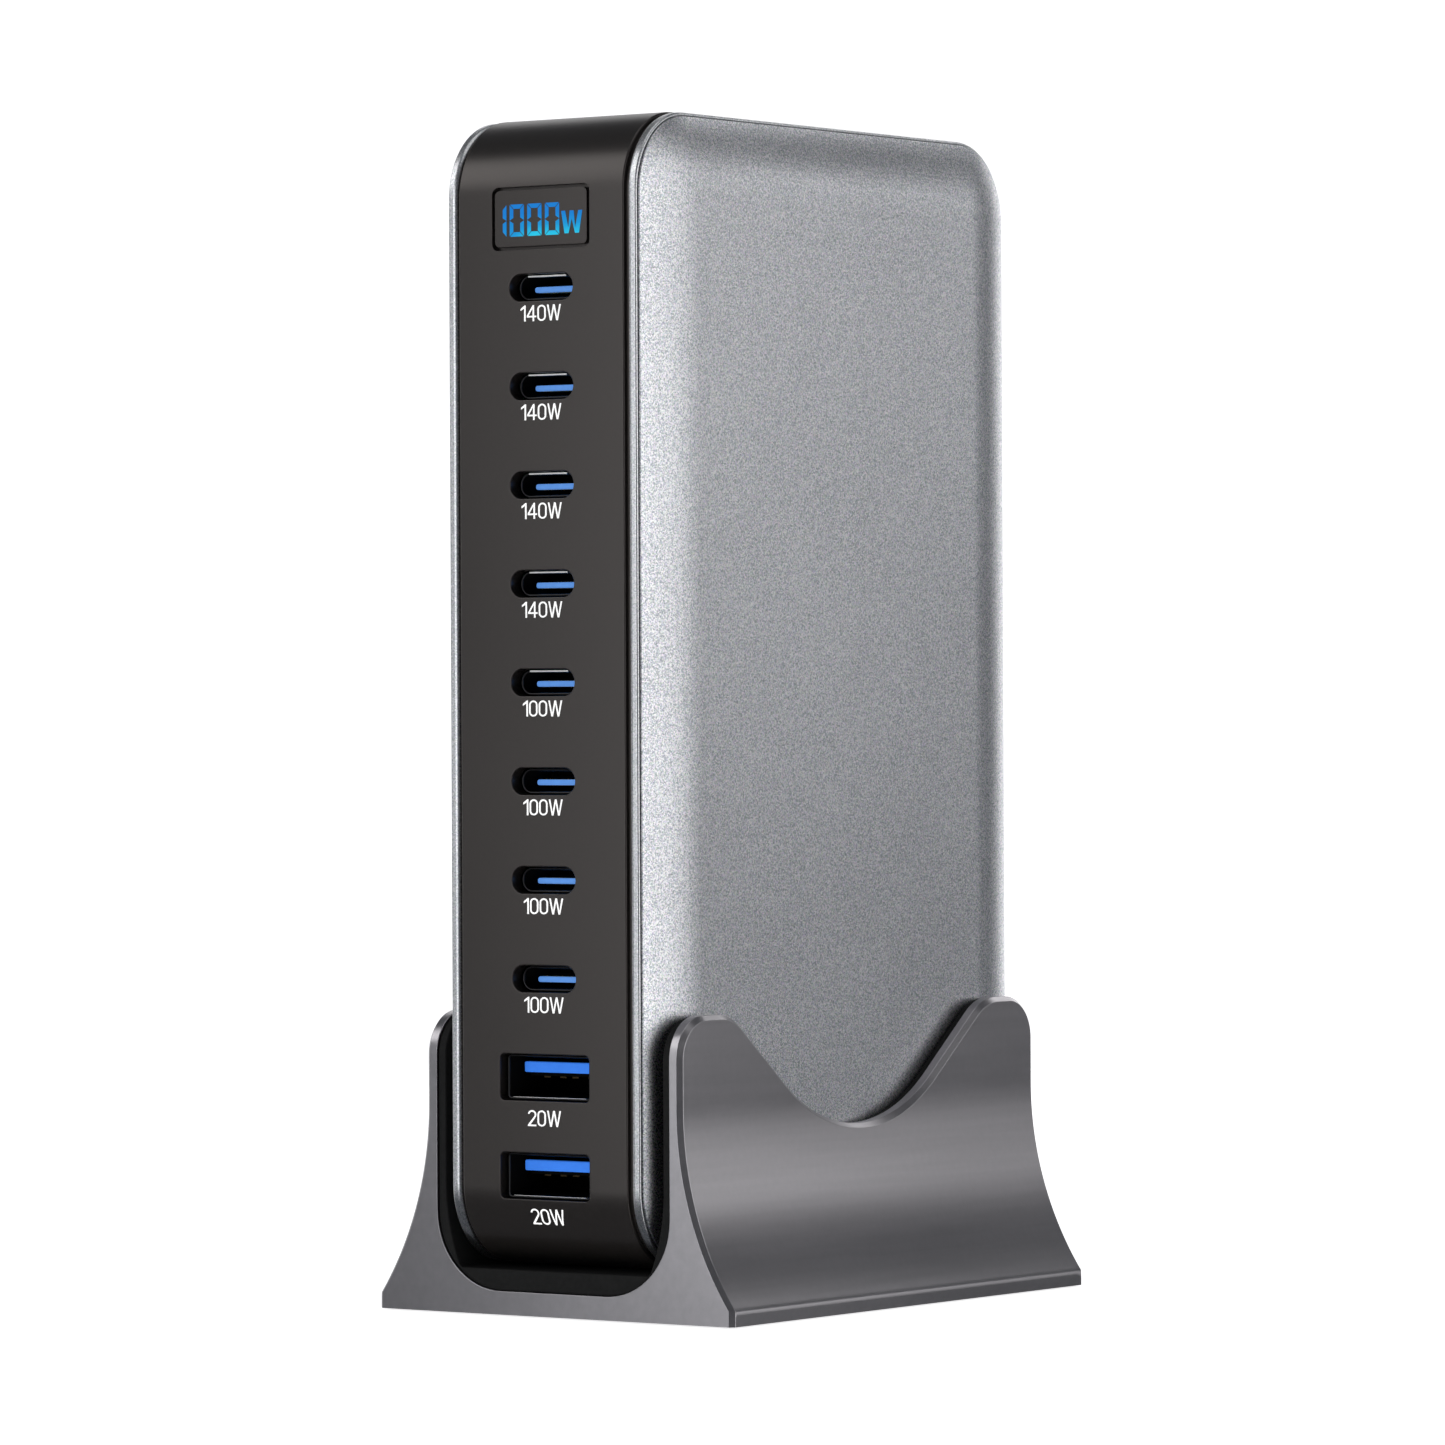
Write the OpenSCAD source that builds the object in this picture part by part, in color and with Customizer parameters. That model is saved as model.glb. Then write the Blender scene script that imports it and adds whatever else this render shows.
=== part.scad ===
// Upright ten-port USB charging station standing in a saddle-shaped desk cradle.
// Millimetres. X is the thin way, the ports face -Y, Z is up, origin under the middle of the base.

/* [Charger body] */
// Depth from the port face to the rear face
body_d = 83.2; // [60:0.1:120]
// Height of the charger
body_h = 146.5; // [100:0.1:220]
// Height of the charger's underside above the table
body_z = 6.2; // [3:0.1:15]
// Corner radius in side view
corner_r = 10.5; // [5:0.1:20]
// Width over the two bulged side plates
body_w = 34; // [26:0.1:60]

/* [Black band] */
// Full-height width of the band
band_w = 26; // [18:0.1:40]
// Band wall thickness
band_wall = 2; // [1.2:0.1:4]
// Width of the shadow groove beside the band
groove_w = 1; // [0.3:0.05:2]
// Depth of the shadow groove
groove_d = 0.6; // [0.2:0.05:1.5]
// Softening of the band edges
band_edge = 0.6; // [0.2:0.05:1.5]

/* [Side covers and plates] */
// How far the silver rim sits below the band
rim_in = 0.15; // [0:0.05:1]
// Thickness of the visible rim
rim_t = 0.75; // [0.3:0.05:2]
// Width of the rim around the plate
rim_w = 0.95; // [0.4:0.05:3]
// Floor thickness of the cover
cover_floor = 1; // [0.6:0.1:3]
// Depth of the recess that takes the plate
plate_sink = 0.6; // [0.2:0.05:1.5]
// Clear line around the plate
plate_gap = 0.12; // [0.05:0.01:0.5]
// Straight edge of the plate above the rim
plate_edge = 0.25; // [0.1:0.05:1]
// Height of the cover's locating lip
lip_h = 1.4; // [0.5:0.1:4]
// Thickness of the locating lip
lip_t = 1.2; // [0.6:0.1:3]

/* [USB ports] */
// Centre height of the top port
port_top_z = 130.6; // [80:0.1:200]
// Pitch of the ports
port_pitch = 12.5; // [8:0.1:20]
// Panel hole of a USB-C port
c_hole = [10, 3.4]; // [1:0.1:20]
// Outside of a USB-C metal shell
c_shell = [9, 3.2]; // [1:0.1:20]
// USB-C shell wall
c_wall = 0.3; // [0.15:0.05:0.6]
// How far the USB-C shell sits behind the panel face
c_sink = 1.45; // [0:0.05:3]
// USB-C tongue width and thickness
c_tongue = [6.69, 0.7]; // [0.5:0.01:10]
// How far the USB-C tongue tip sits behind the panel face
c_tip = 3.2; // [1:0.1:6]
// Panel hole of a USB-A port
a_hole = [14.15, 5.9]; // [1:0.1:20]
// Outside of a USB-A metal shell
a_shell = [13.14, 5.72]; // [1:0.01:20]
// USB-A shell wall
a_wall = 0.3; // [0.15:0.05:0.6]
// How far the USB-A shell sits behind the panel face
a_sink = 1; // [0:0.05:3]
// USB-A shell length
a_len = 13; // [8:0.1:20]
// USB-A tongue width and thickness
a_tongue = [11.1, 1.84]; // [0.5:0.01:15]
// How far the USB-A tongue tip sits behind the panel face
a_tip = 4.3; // [1:0.1:8]

/* [Display] */
// Centre height of the display
disp_z = 139.4; // [100:0.1:200]
// Recess for the display window
disp_recess = [15.4, 8]; // [4:0.1:30]
// Window size
disp_window = [14.5, 7.1]; // [4:0.1:30]
// Opening behind the window
disp_hole = [13.6, 6.2]; // [4:0.1:30]
// Height of the digits
digit_h = 4.08; // [2:0.05:6]
// Width of a digit
digit_w = 2.24; // [1:0.05:4]
// Distance from one digit to the next
digit_pitch = 2.8; // [1.5:0.05:5]
// Stroke of a digit segment
digit_t = 0.5; // [0.2:0.05:1]

/* [Mains inlet] */
// Centre height of the inlet
inlet_z = 24; // [15:0.5:60]
// Outside of the inlet housing
inlet_size = [18, 11]; // [10:0.1:30]
// Depth of the socket
inlet_depth = 11.5; // [8:0.1:16]
// Contact pin radius
pin_r = 1.18; // [1:0.01:2]
// Distance between the two pins
pin_gap = 8.6; // [6:0.1:12]

/* [Stand] */
// Width of the base
base_w = 56.2; // [40:0.1:90]
// Depth of the stand
stand_d = 80.2; // [50:0.1:120]
// Outside width of the upright walls
wall_out = 40.4; // [36:0.1:70]
// Width of the pocket between the walls
pocket_w = 36.8; // [30:0.1:60]
// Height of the pocket floor
pocket_z = 3.2; // [2:0.1:10]
// Corner radius of the pocket
pocket_r = 10; // [2:0.1:16]
// Radius of the flared sides
flare_r = 43; // [20:0.5:80]
// Height where the flare meets the upright wall
flare_z = 27; // [15:0.5:40]
// Height of the ears
ear_z = 38.65; // [25:0.1:80]
// Lowest point of the saddle
saddle_z = 23.5; // [15:0.1:60]
// Radius of the saddle
saddle_r = 27; // [10:0.5:60]
// Slope of the saddle sides
saddle_slope = 38; // [20:1:60]
// Inner ear radius
ear_in_r = 8; // [2:0.1:16]
// Outer ear radius
ear_out_r = 5.6; // [2:0.1:12]
// Gap between charger and liner
liner_gap = 0.2; // [0.1:0.05:0.6]
// How far the feet stand out
foot_out = 0.2; // [0.1:0.05:2]
// Foot radius
foot_r = 5; // [2:0.1:10]

/* [Boards] */
// Circuit board thickness
board_t = 1.6; // [0.8:0.1:2.4]
// Radius of the screw shanks
screw_r = 1; // [0.8:0.05:2]
// Radius of a board boss
boss_r = 2.5; // [2:0.1:5]

/* [Hidden] */
$fn = 96;
eps = 0.01;
clear = 0.02;
half_w = body_w / 2;
zc = body_z + body_h / 2;
face_y = body_d / 2;
band_x = band_w / 2 + groove_w;
rim_x = band_x + rim_t;
floor_x = band_x - cover_floor;
plate_x0 = rim_x - plate_sink;
plate_in = rim_in + rim_w + plate_gap;
plate_r = corner_r - plate_in;
plate_rise = half_w - rim_x - plate_edge;
dome_r = (plate_r * plate_r + plate_rise * plate_rise) / (2 * plate_rise);
cy = face_y - corner_r;
cz = body_h / 2 - corner_r;
inner_y = face_y - band_wall;
n_c = 8;
n_a = 2;
c_len = 7.3;
c_back = -face_y + c_sink + c_len;
a_back = -face_y + a_sink + a_len;
main_x0 = -3.8;
main_x1 = main_x0 + board_t;
shelf_x = floor_x - lip_h;
main_bosses = [[-20, 52], [-20, 136], [26, 46], [26, 136]];
port_bosses = [[-8.6, 42], [8.6, 42], [-8.6, 132.2], [8.6, 132.2]];
a_boss_x = 9.2;
disp_boss_x = 9.7;
col_black = [0.13, 0.13, 0.125];
col_silver = [0.72, 0.73, 0.75];
col_stand = [0.55, 0.54, 0.52];
col_steel = [0.7, 0.7, 0.72];
col_blue_c = [0.36, 0.56, 0.91];
col_blue_a = [0.18, 0.44, 0.88];
col_board = [0.08, 0.3, 0.16];

// 2D rounded rectangle about the origin
module rrect(w, h, r) {
    square([w - 2 * r, h], center = true);
    square([w, h - 2 * r], center = true);
    for (sx = [-1, 1], sy = [-1, 1]) translate([sx * (w / 2 - r), sy * (h / 2 - r)]) circle(r);
}

// 2D stadium about the origin
module stadium(w, h) {
    square([w - h, h], center = true);
    for (s = [-1, 1]) translate([s * (w - h) / 2, 0]) circle(h / 2);
}

// a front-view shape drawn in X and Z, filling y0 to y1
module along_y(y0, y1) {
    translate([0, y1, 0]) rotate([90, 0, 0]) linear_extrude(y1 - y0) children();
}

// a side-view shape drawn in Y and Z, filling x0 to x1
module along_x(x0, x1) {
    translate([x0, 0, 0]) rotate([90, 0, 90]) linear_extrude(x1 - x0) children();
}

// slab with the charger's side outline, drawn in by inset
module slab(inset, x0, x1) {
    translate([0, 0, zc]) along_x(x0, x1)
        rrect(body_d - 2 * inset, body_h - 2 * inset, corner_r - inset);
}

// carries a profile (distance outward, X) round the charger's side outline
module round_outline() {
    translate([0, 0, zc]) rotate([90, 0, 90]) {
        for (q = [0 : 3]) {
            su = (q == 0 || q == 3) ? 1 : -1;
            sv = q < 2 ? 1 : -1;
            translate([su * cy, sv * cz, 0]) rotate([0, 0, 90 * q]) rotate_extrude(angle = 90) children();
        }
        for (s = [0, 1]) rotate([0, 0, 180 * s]) {
            translate([cy, 0, 0]) rotate([90, 0, 0]) linear_extrude(2 * cz, center = true) children();
            rotate([0, 0, 90]) translate([cz, 0, 0]) rotate([90, 0, 0])
                linear_extrude(2 * cy, center = true) children();
        }
    }
}

module band_profile() {
    w = band_w / 2;
    r0 = corner_r - band_wall;
    r1 = corner_r - groove_d;
    e = band_edge;
    k = e * (1 - cos(45));
    polygon([[r0, -band_x], [r1, -band_x], [r1, -w], [corner_r - k, -w + k], [corner_r, -w + e],
        [corner_r, w - e], [corner_r - k, w - k], [r1, w], [r1, band_x], [r0, band_x]]);
}

module boss(x, z, y0, y1, r, hole) {
    translate([x, y1, z]) rotate([90, 0, 0]) difference() {
        cylinder(h = y1 - y0, r = r);
        translate([0, 0, -eps]) cylinder(h = hole + eps, r = screw_r - 0.2 + clear);
    }
}

module band() {
    color(col_black) difference() {
        union() {
            round_outline() band_profile();
            for (b = port_bosses) boss(b[0], b[1], -inner_y - eps, c_back, 2, 4);
            for (s = [-1, 1]) boss(s * a_boss_x, port_z(8.5), -inner_y - eps, a_back, 2, 4);
            for (s = [-1, 1]) boss(s * disp_boss_x, disp_z, -inner_y - eps, -36, 1.7, 3);
        }
        for (i = [0 : n_c - 1]) translate([0, 0, port_z(i)])
            along_y(-face_y - 1, -inner_y + 1) stadium(c_hole[0], c_hole[1]);
        for (i = [0 : n_a - 1]) translate([0, 0, port_z(n_c + i)])
            along_y(-face_y - 1, -inner_y + 1) rrect(a_hole[0], a_hole[1], 0.7);
        translate([0, 0, disp_z]) along_y(-face_y - 1, -face_y + 1) rrect(disp_recess[0], disp_recess[1], 0.9);
        translate([0, 0, disp_z]) along_y(-face_y - 1, -inner_y + 1) square(disp_hole, center = true);
        translate([0, 0, inlet_z]) along_y(inner_y - 1, face_y + 1)
            rrect(inlet_size[0] + 0.3, inlet_size[1] + 0.3, 1.65);
    }
}

function port_z(i) = port_top_z - port_pitch * i;

module cover(side) {
    color(col_silver) mirror([side < 0 ? 1 : 0, 0, 0]) difference() {
        union() {
            slab(rim_in, band_x, rim_x);
            slab(band_wall + 0.1, floor_x, band_x);
            difference() {
                slab(band_wall + 0.1, shelf_x, floor_x);
                slab(band_wall + 0.1 + lip_t, shelf_x - 1, floor_x);
            }
            if (side < 0) for (b = main_bosses) translate([-main_x0, b[0], b[1]]) rotate([0, 90, 0])
                cylinder(h = floor_x + main_x0 + eps, r = boss_r);
        }
        slab(rim_in + rim_w, plate_x0, rim_x + 1);
        if (side < 0) for (b = main_bosses) translate([-main_x0 - 1, b[0], b[1]]) rotate([0, 90, 0])
            cylinder(h = 7, r = screw_r + clear);
    }
}

module plate(side) {
    color(col_silver) mirror([side < 0 ? 1 : 0, 0, 0]) {
        round_outline() intersection() {
            translate([0, plate_x0]) square([plate_r, body_w]);
            translate([0, half_w - dome_r]) circle(dome_r, $fn = 180);
        }
        translate([plate_x0, -cy, zc - cz]) cube([half_w - plate_x0, 2 * cy, 2 * cz]);
    }
}

module usb_c_shell(i) {
    color(col_steel) translate([0, 0, port_z(i)]) along_y(-face_y + c_sink, c_back) difference() {
        stadium(c_shell[0], c_shell[1]);
        stadium(c_shell[0] - 2 * c_wall, c_shell[1] - 2 * c_wall);
    }
}

module usb_c_tongue(i) {
    in_w = c_shell[0] - 2 * c_wall - 2 * clear;
    in_h = c_shell[1] - 2 * c_wall - 2 * clear;
    color(col_blue_c) translate([0, 0, port_z(i)]) {
        along_y(c_back - 1.9, c_back) stadium(in_w, in_h);
        along_y(c_back - 2.8, c_back - 1.9) square([c_tongue[0] - 0.4, 1.3], center = true);
        along_y(-face_y + c_tip, c_back - 2.8) rrect(c_tongue[0], c_tongue[1], 0.3);
    }
}

module usb_a_shell(i) {
    color(col_steel) translate([0, 0, port_z(n_c + i)]) along_y(-face_y + a_sink, a_back) difference() {
        rrect(a_shell[0], a_shell[1], 0.6);
        rrect(a_shell[0] - 2 * a_wall, a_shell[1] - 2 * a_wall, 0.3);
    }
}

module usb_a_tongue(i) {
    color(col_blue_a) translate([0, 0, port_z(n_c + i)]) {
        along_y(a_back - 1.4, a_back)
            rrect(a_shell[0] - 2 * a_wall - 2 * clear, a_shell[1] - 2 * a_wall - 2 * clear, 0.3);
        along_y(-face_y + a_tip, a_back - 1.4) translate([0, a_tongue[1] / 2]) rrect(a_tongue[0], a_tongue[1], 0.3);
    }
}

module usb_a_contacts() {
    color([0.85, 0.68, 0.3]) for (i = [0, 1], x = [-3.5, -1, 1, 3.5])
        translate([x - 0.5, -face_y + a_tip + 1, port_z(n_c + i) - 0.25]) cube([1, 6.5, 0.25]);
}

module display_window() {
    color([0.05, 0.05, 0.06]) translate([0, 0, disp_z])
        along_y(-face_y + 0.05, -face_y + 1) rrect(disp_window[0], disp_window[1], 0.7);
}

// one seven-segment digit with mitred bars, lower left corner at the origin
module digit(segs) {
    w = digit_w;
    h = digit_h;
    t = digit_t;
    g = 0.07;
    m = h / 2;
    if (segs[0]) polygon([[g, h], [w - g, h], [w - t - g, h - t], [t + g, h - t]]);
    if (segs[1]) polygon([[w, h - g], [w, m + g / 2], [w - t, m + t / 2 + g], [w - t, h - t - g]]);
    if (segs[2]) polygon([[w, g], [w, m - g / 2], [w - t, m - t / 2 - g], [w - t, t + g]]);
    if (segs[3]) polygon([[g, 0], [w - g, 0], [w - t - g, t], [t + g, t]]);
    if (segs[4]) polygon([[0, g], [0, m - g / 2], [t, m - t / 2 - g], [t, t + g]]);
    if (segs[5]) polygon([[0, h - g], [0, m + g / 2], [t, m + t / 2 + g], [t, h - t - g]]);
    if (segs[6]) translate([t + g, m - t / 2]) square([w - 2 * t - 2 * g, t]);
}

module letter_w(w, h, t) {
    k = w / 4;
    polygon([[0, h], [t, h], [k + t / 2, t], [2 * k - t / 2, h], [2 * k + t / 2, h], [3 * k - t / 2, t],
        [w - t, h], [w, h], [3 * k + t / 2, 0], [3 * k - t / 2, 0], [2 * k, h - 1.6 * t], [k + t / 2, 0],
        [k - t / 2, 0]]);
}

module display_digits() {
    color([0.3, 0.8, 0.95]) translate([0, 0, disp_z - 0.25 - digit_h / 2]) along_y(-face_y, -face_y + 0.05) {
        translate([-5.97 - digit_w + digit_t, 0]) digit([false, true, true, false, false, false, false]);
        for (k = [0 : 2]) translate([-4.87 + k * digit_pitch, 0])
            digit([true, true, true, true, true, true, false]);
        translate([3.3, 0.1]) letter_w(3.3, 2.85, 0.52);
    }
}

module display_module() {
    color([0.1, 0.1, 0.1]) translate([0, 0, disp_z])
        along_y(-face_y + 1, -36) square([disp_hole[0] - 0.2, disp_hole[1] - 0.2], center = true);
}

module display_board() {
    color(col_board) difference() {
        translate([-11.4, -36, disp_z - 4.6]) cube([22.8, 1.2, 9.2]);
        for (s = [-1, 1]) translate([s * disp_boss_x, -34, disp_z]) rotate([90, 0, 0]) cylinder(h = 4, r = screw_r);
    }
}

module port_board() {
    color(col_board) difference() {
        translate([-11, c_back, 37.5]) cube([22, board_t, 98]);
        for (b = port_bosses) translate([b[0], c_back + 3, b[1]]) rotate([90, 0, 0]) cylinder(h = 5, r = screw_r);
    }
}

module usb_a_board() {
    color(col_board) difference() {
        translate([-11.2, a_back, 11]) cube([22.4, board_t, 25.5]);
        for (s = [-1, 1]) translate([s * a_boss_x, a_back + 3, port_z(8.5)]) rotate([90, 0, 0])
            cylinder(h = 5, r = screw_r);
    }
}

module main_board() {
    color(col_board) difference() {
        along_x(main_x0, main_x1) polygon([[c_back + board_t, 38], [c_back + board_t, 146], [36, 146], [36, 36],
            [22, 36], [22, 12], [a_back + board_t, 12], [a_back + board_t, 38]]);
        for (b = main_bosses) translate([main_x0 - 1, b[0], b[1]]) rotate([0, 90, 0])
            cylinder(h = 4, r = screw_r + 0.15);
    }
}

module main_screws() {
    color(col_steel) for (b = main_bosses) translate([main_x1, b[0], b[1]]) rotate([0, 90, 0]) difference() {
        union() {
            cylinder(h = 1.2, r = 2);
            translate([0, 0, -6.5]) cylinder(h = 6.5 + eps, r = screw_r);
        }
        translate([-0.25, -1.3, 0.7]) cube([0.5, 2.6, 1]);
        translate([-1.3, -0.25, 0.7]) cube([2.6, 0.5, 1]);
    }
}

module small_screw(x, y, z, len) {
    translate([x, y, z]) rotate([-90, 0, 0]) difference() {
        union() {
            cylinder(h = 0.9, r = 1.6);
            translate([0, 0, -len]) cylinder(h = len + eps, r = screw_r - 0.2);
        }
        translate([-0.2, -1.1, 0.5]) cube([0.4, 2.2, 1]);
        translate([-1.1, -0.2, 0.5]) cube([2.2, 0.4, 1]);
    }
}

module port_screws() {
    color(col_steel) {
        for (b = port_bosses) small_screw(b[0], c_back + board_t, b[1], 5);
        for (s = [-1, 1]) small_screw(s * a_boss_x, a_back + board_t, port_z(8.5), 5);
        for (s = [-1, 1]) small_screw(s * disp_boss_x, -36 + 1.2, disp_z, 3.5);
    }
}

module inlet_socket() {
    for (s = [-1, 1]) translate([s * 3, 0]) circle(3.85);
    square([6, 7], center = true);
}

module inlet_housing() {
    y1 = face_y - 0.2;
    y0 = y1 - inlet_depth - 5;
    color(col_black) translate([0, 0, inlet_z]) difference() {
        union() {
            along_y(y0, y1) rrect(inlet_size[0], inlet_size[1], 1.5);
            along_y(inner_y - 1.3, inner_y) rrect(inlet_size[0] + 3.6, inlet_size[1] + 3.6, 1);
        }
        along_y(y1 - inlet_depth, y1 + 1) inlet_socket();
        for (s = [-1, 1]) translate([s * pin_gap / 2, y1 - inlet_depth + 1, 0]) rotate([90, 0, 0])
            cylinder(h = 8, r = pin_r + clear);
    }
}

module inlet_pins() {
    y1 = face_y - 0.2;
    color(col_steel) for (s = [-1, 1]) translate([s * pin_gap / 2, y1 - 1.5, inlet_z]) rotate([90, 0, 0]) {
        translate([0, 0, 0.6]) cylinder(h = inlet_depth + 5 - 0.6, r = pin_r);
        cylinder(h = 0.6 + eps, r1 = pin_r - 0.5, r2 = pin_r);
    }
}

module fuse() {
    color([0.8, 0.8, 0.78]) translate([main_x1 + 3, 6, 22]) rotate([90, 0, 0]) {
        cylinder(h = 20, r = 2.2);
        cylinder(h = 5, r = 2.6);
        translate([0, 0, 15]) cylinder(h = 5, r = 2.6);
    }
    color(col_steel) for (y = [3.5, -11.5]) translate([main_x1, y - 1, 20.5]) cube([1.2, 2, 3]);
}

module emi_choke() {
    color([0.6, 0.35, 0.2]) translate([main_x1 + 4, 12, 38]) rotate([0, 90, 0])
        rotate_extrude() translate([6, 0]) circle(3.2);
    color([0.2, 0.2, 0.2]) translate([main_x1, 12, 38]) rotate([0, 90, 0]) cylinder(h = 2, r = 8);
}

module x_capacitor() {
    color([0.85, 0.75, 0.3]) translate([main_x1, -12, 30]) cube([11, 7, 15]);
}

module bridge_rectifier() {
    color([0.15, 0.15, 0.16]) translate([main_x1, 27, 50]) cube([10, 4, 18]);
}

module bulk_capacitors() {
    color([0.12, 0.14, 0.3]) for (k = [0 : 2]) translate([main_x1 + 5.5, -16 + 12 * k, 54])
        difference() {
            cylinder(h = 22, r = 5.5);
            translate([0, 0, 20.5]) rotate_extrude() translate([5.7, 0]) circle(0.5, $fn = 32);
        }
}

module transformer(z) {
    color([0.22, 0.21, 0.2]) translate([main_x1, -8, z]) difference() {
        cube([13, 20, 22]);
        translate([-1, -1, 4]) cube([15, 6, 14]);
        translate([-1, 15, 4]) cube([15, 6, 14]);
    }
    color([0.9, 0.8, 0.35]) translate([main_x1 + 0.5, -7, z + 4]) difference() {
        cube([12, 18, 14]);
        translate([-1, 4, -1]) cube([14, 10, 16]);
    }
}

module transformer_1() { transformer(82); }
module transformer_2() { transformer(112); }

module output_capacitors() {
    color([0.1, 0.1, 0.12]) for (k = [0 : 5]) translate([main_x1, -25, 60 + 14 * k]) rotate([0, 90, 0])
        cylinder(h = 9, r = 3.15);
}

module heat_spreader(side) {
    color([0.75, 0.76, 0.78]) difference() {
        translate([side > 0 ? shelf_x : -floor_x, -33, zc - 62]) cube([lip_h, 66, 124]);
        if (side < 0) for (b = main_bosses) translate([-floor_x - 1, b[0], b[1]]) rotate([0, 90, 0])
            cylinder(h = 4, r = boss_r + 0.5);
    }
}

// cross-section of the stand from the front
module stand_front_view() {
    top = ear_z + 5;
    fx = wall_out / 2 + flare_r;
    difference() {
        translate([-base_w / 2, foot_out]) square([base_w, top]);
        for (s = [-1, 1]) {
            translate([s * fx, flare_z]) circle(flare_r, $fn = 180);
            translate([s * (wall_out / 2 + flare_r / 2), flare_z + top / 2]) square([flare_r, top], center = true);
        }
        translate([-pocket_w / 2, pocket_z + pocket_r]) square([pocket_w, top]);
        translate([-pocket_w / 2 + pocket_r, pocket_z]) square([pocket_w - 2 * pocket_r, top]);
        for (s = [-1, 1]) translate([s * (pocket_w / 2 - pocket_r), pocket_z + pocket_r]) circle(pocket_r);
    }
}

// outline of the stand from the side
module stand_side_view() {
    a = saddle_slope;
    ay = saddle_r * sin(a);
    az = saddle_z + saddle_r * (1 - cos(a));
    bz = ear_z - ear_in_r * (1 - cos(a));
    by = ay + (bz - az) / tan(a);
    ey = by + ear_in_r * sin(a);
    hd = stand_d / 2;
    difference() {
        union() {
            translate([-hd, 0]) square([stand_d, ear_z - ear_out_r]);
            translate([-by, 0]) square([2 * by, bz]);
            for (s = [-1, 1]) {
                translate([s * (ey + hd - ear_out_r) / 2, ear_z / 2])
                    square([hd - ear_out_r - ey, ear_z], center = true);
                translate([s * (hd - ear_out_r), ear_z - ear_out_r]) circle(ear_out_r);
                intersection() {
                    translate([s * ey, ear_z - ear_in_r]) circle(ear_in_r);
                    translate([s * (by + 4), ear_z]) square([8, 2 * ear_in_r], center = true);
                }
            }
        }
        polygon([[-ay, az], [ay, az], [by, bz], [by, ear_z + 9], [-by, ear_z + 9], [-by, bz]]);
        translate([0, saddle_z + saddle_r]) circle(saddle_r, $fn = 180);
    }
}

module stand() {
    color(col_stand) difference() {
        intersection() {
            along_y(-stand_d / 2, stand_d / 2) stand_front_view();
            along_x(-base_w / 2 - 1, base_w / 2 + 1) stand_side_view();
        }
        for (i = [0 : 3]) foot_place(i) cylinder(h = 1 + clear, r = foot_r + 0.05);
    }
}

module foot_place(i) {
    sx = i % 2 == 0 ? -1 : 1;
    sy = i < 2 ? -1 : 1;
    translate([sx * 19, sy * 32, 0]) children();
}

module foot(i) {
    color([0.12, 0.12, 0.12]) foot_place(i - 1) cylinder(h = 1, r = foot_r);
}

module liner_front_view() {
    w = pocket_w / 2 - clear;
    r = pocket_r - clear;
    z0 = pocket_z + clear;
    top = ear_z;
    difference() {
        union() {
            translate([-w, z0 + r]) square([2 * w, top]);
            translate([-w + r, z0]) square([2 * w - 2 * r, top]);
            for (s = [-1, 1]) translate([s * (w - r), z0 + r]) circle(r);
        }
        translate([-half_w - liner_gap, body_z + corner_r]) square([body_w + 2 * liner_gap, top]);
        translate([-rim_x - liner_gap, body_z - liner_gap]) square([2 * rim_x + 2 * liner_gap, top]);
        intersection() {
            translate([-half_w - 1, body_z - liner_gap]) square([body_w + 2, corner_r + liner_gap + 1]);
            translate([half_w - dome_r, body_z + corner_r]) circle(dome_r + liner_gap, $fn = 180);
            translate([-half_w + dome_r, body_z + corner_r]) circle(dome_r + liner_gap, $fn = 180);
        }
    }
}

module stand_liner() {
    color([0.09, 0.09, 0.09]) intersection() {
        along_y(-stand_d / 2 + 0.3, stand_d / 2 - 0.3) liner_front_view();
        along_x(-wall_out, wall_out) stand_side_view();
    }
}

stand();
stand_liner();
foot(1);  // foot_1
foot(2);  // foot_2
foot(3);  // foot_3
foot(4);  // foot_4
band();
cover(-1);  // cover_left
cover(1);  // cover_right
plate(-1);  // plate_left
plate(1);  // plate_right
usb_c_shell(0);  // usb_c_shell_1
usb_c_shell(1);  // usb_c_shell_2
usb_c_shell(2);  // usb_c_shell_3
usb_c_shell(3);  // usb_c_shell_4
usb_c_shell(4);  // usb_c_shell_5
usb_c_shell(5);  // usb_c_shell_6
usb_c_shell(6);  // usb_c_shell_7
usb_c_shell(7);  // usb_c_shell_8
usb_c_tongue(0);  // usb_c_tongue_1
usb_c_tongue(1);  // usb_c_tongue_2
usb_c_tongue(2);  // usb_c_tongue_3
usb_c_tongue(3);  // usb_c_tongue_4
usb_c_tongue(4);  // usb_c_tongue_5
usb_c_tongue(5);  // usb_c_tongue_6
usb_c_tongue(6);  // usb_c_tongue_7
usb_c_tongue(7);  // usb_c_tongue_8
usb_a_shell(0);  // usb_a_shell_1
usb_a_shell(1);  // usb_a_shell_2
usb_a_tongue(0);  // usb_a_tongue_1
usb_a_tongue(1);  // usb_a_tongue_2
usb_a_contacts();
display_window();
display_digits();
display_module();
display_board();
port_board();
usb_a_board();
main_board();
main_screws();
port_screws();
inlet_housing();
inlet_pins();
fuse();
emi_choke();
x_capacitor();
bridge_rectifier();
bulk_capacitors();
transformer_1();
transformer_2();
output_capacitors();
heat_spreader(-1);  // heat_spreader_left
heat_spreader(1);  // heat_spreader_right
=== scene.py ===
"""Upright USB charging station in its cradle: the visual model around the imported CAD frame."""

import math

import bmesh
import bpy
import numpy as np
from mathutils import Matrix, Vector
from mathutils.geometry import delaunay_2d_cdt


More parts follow.
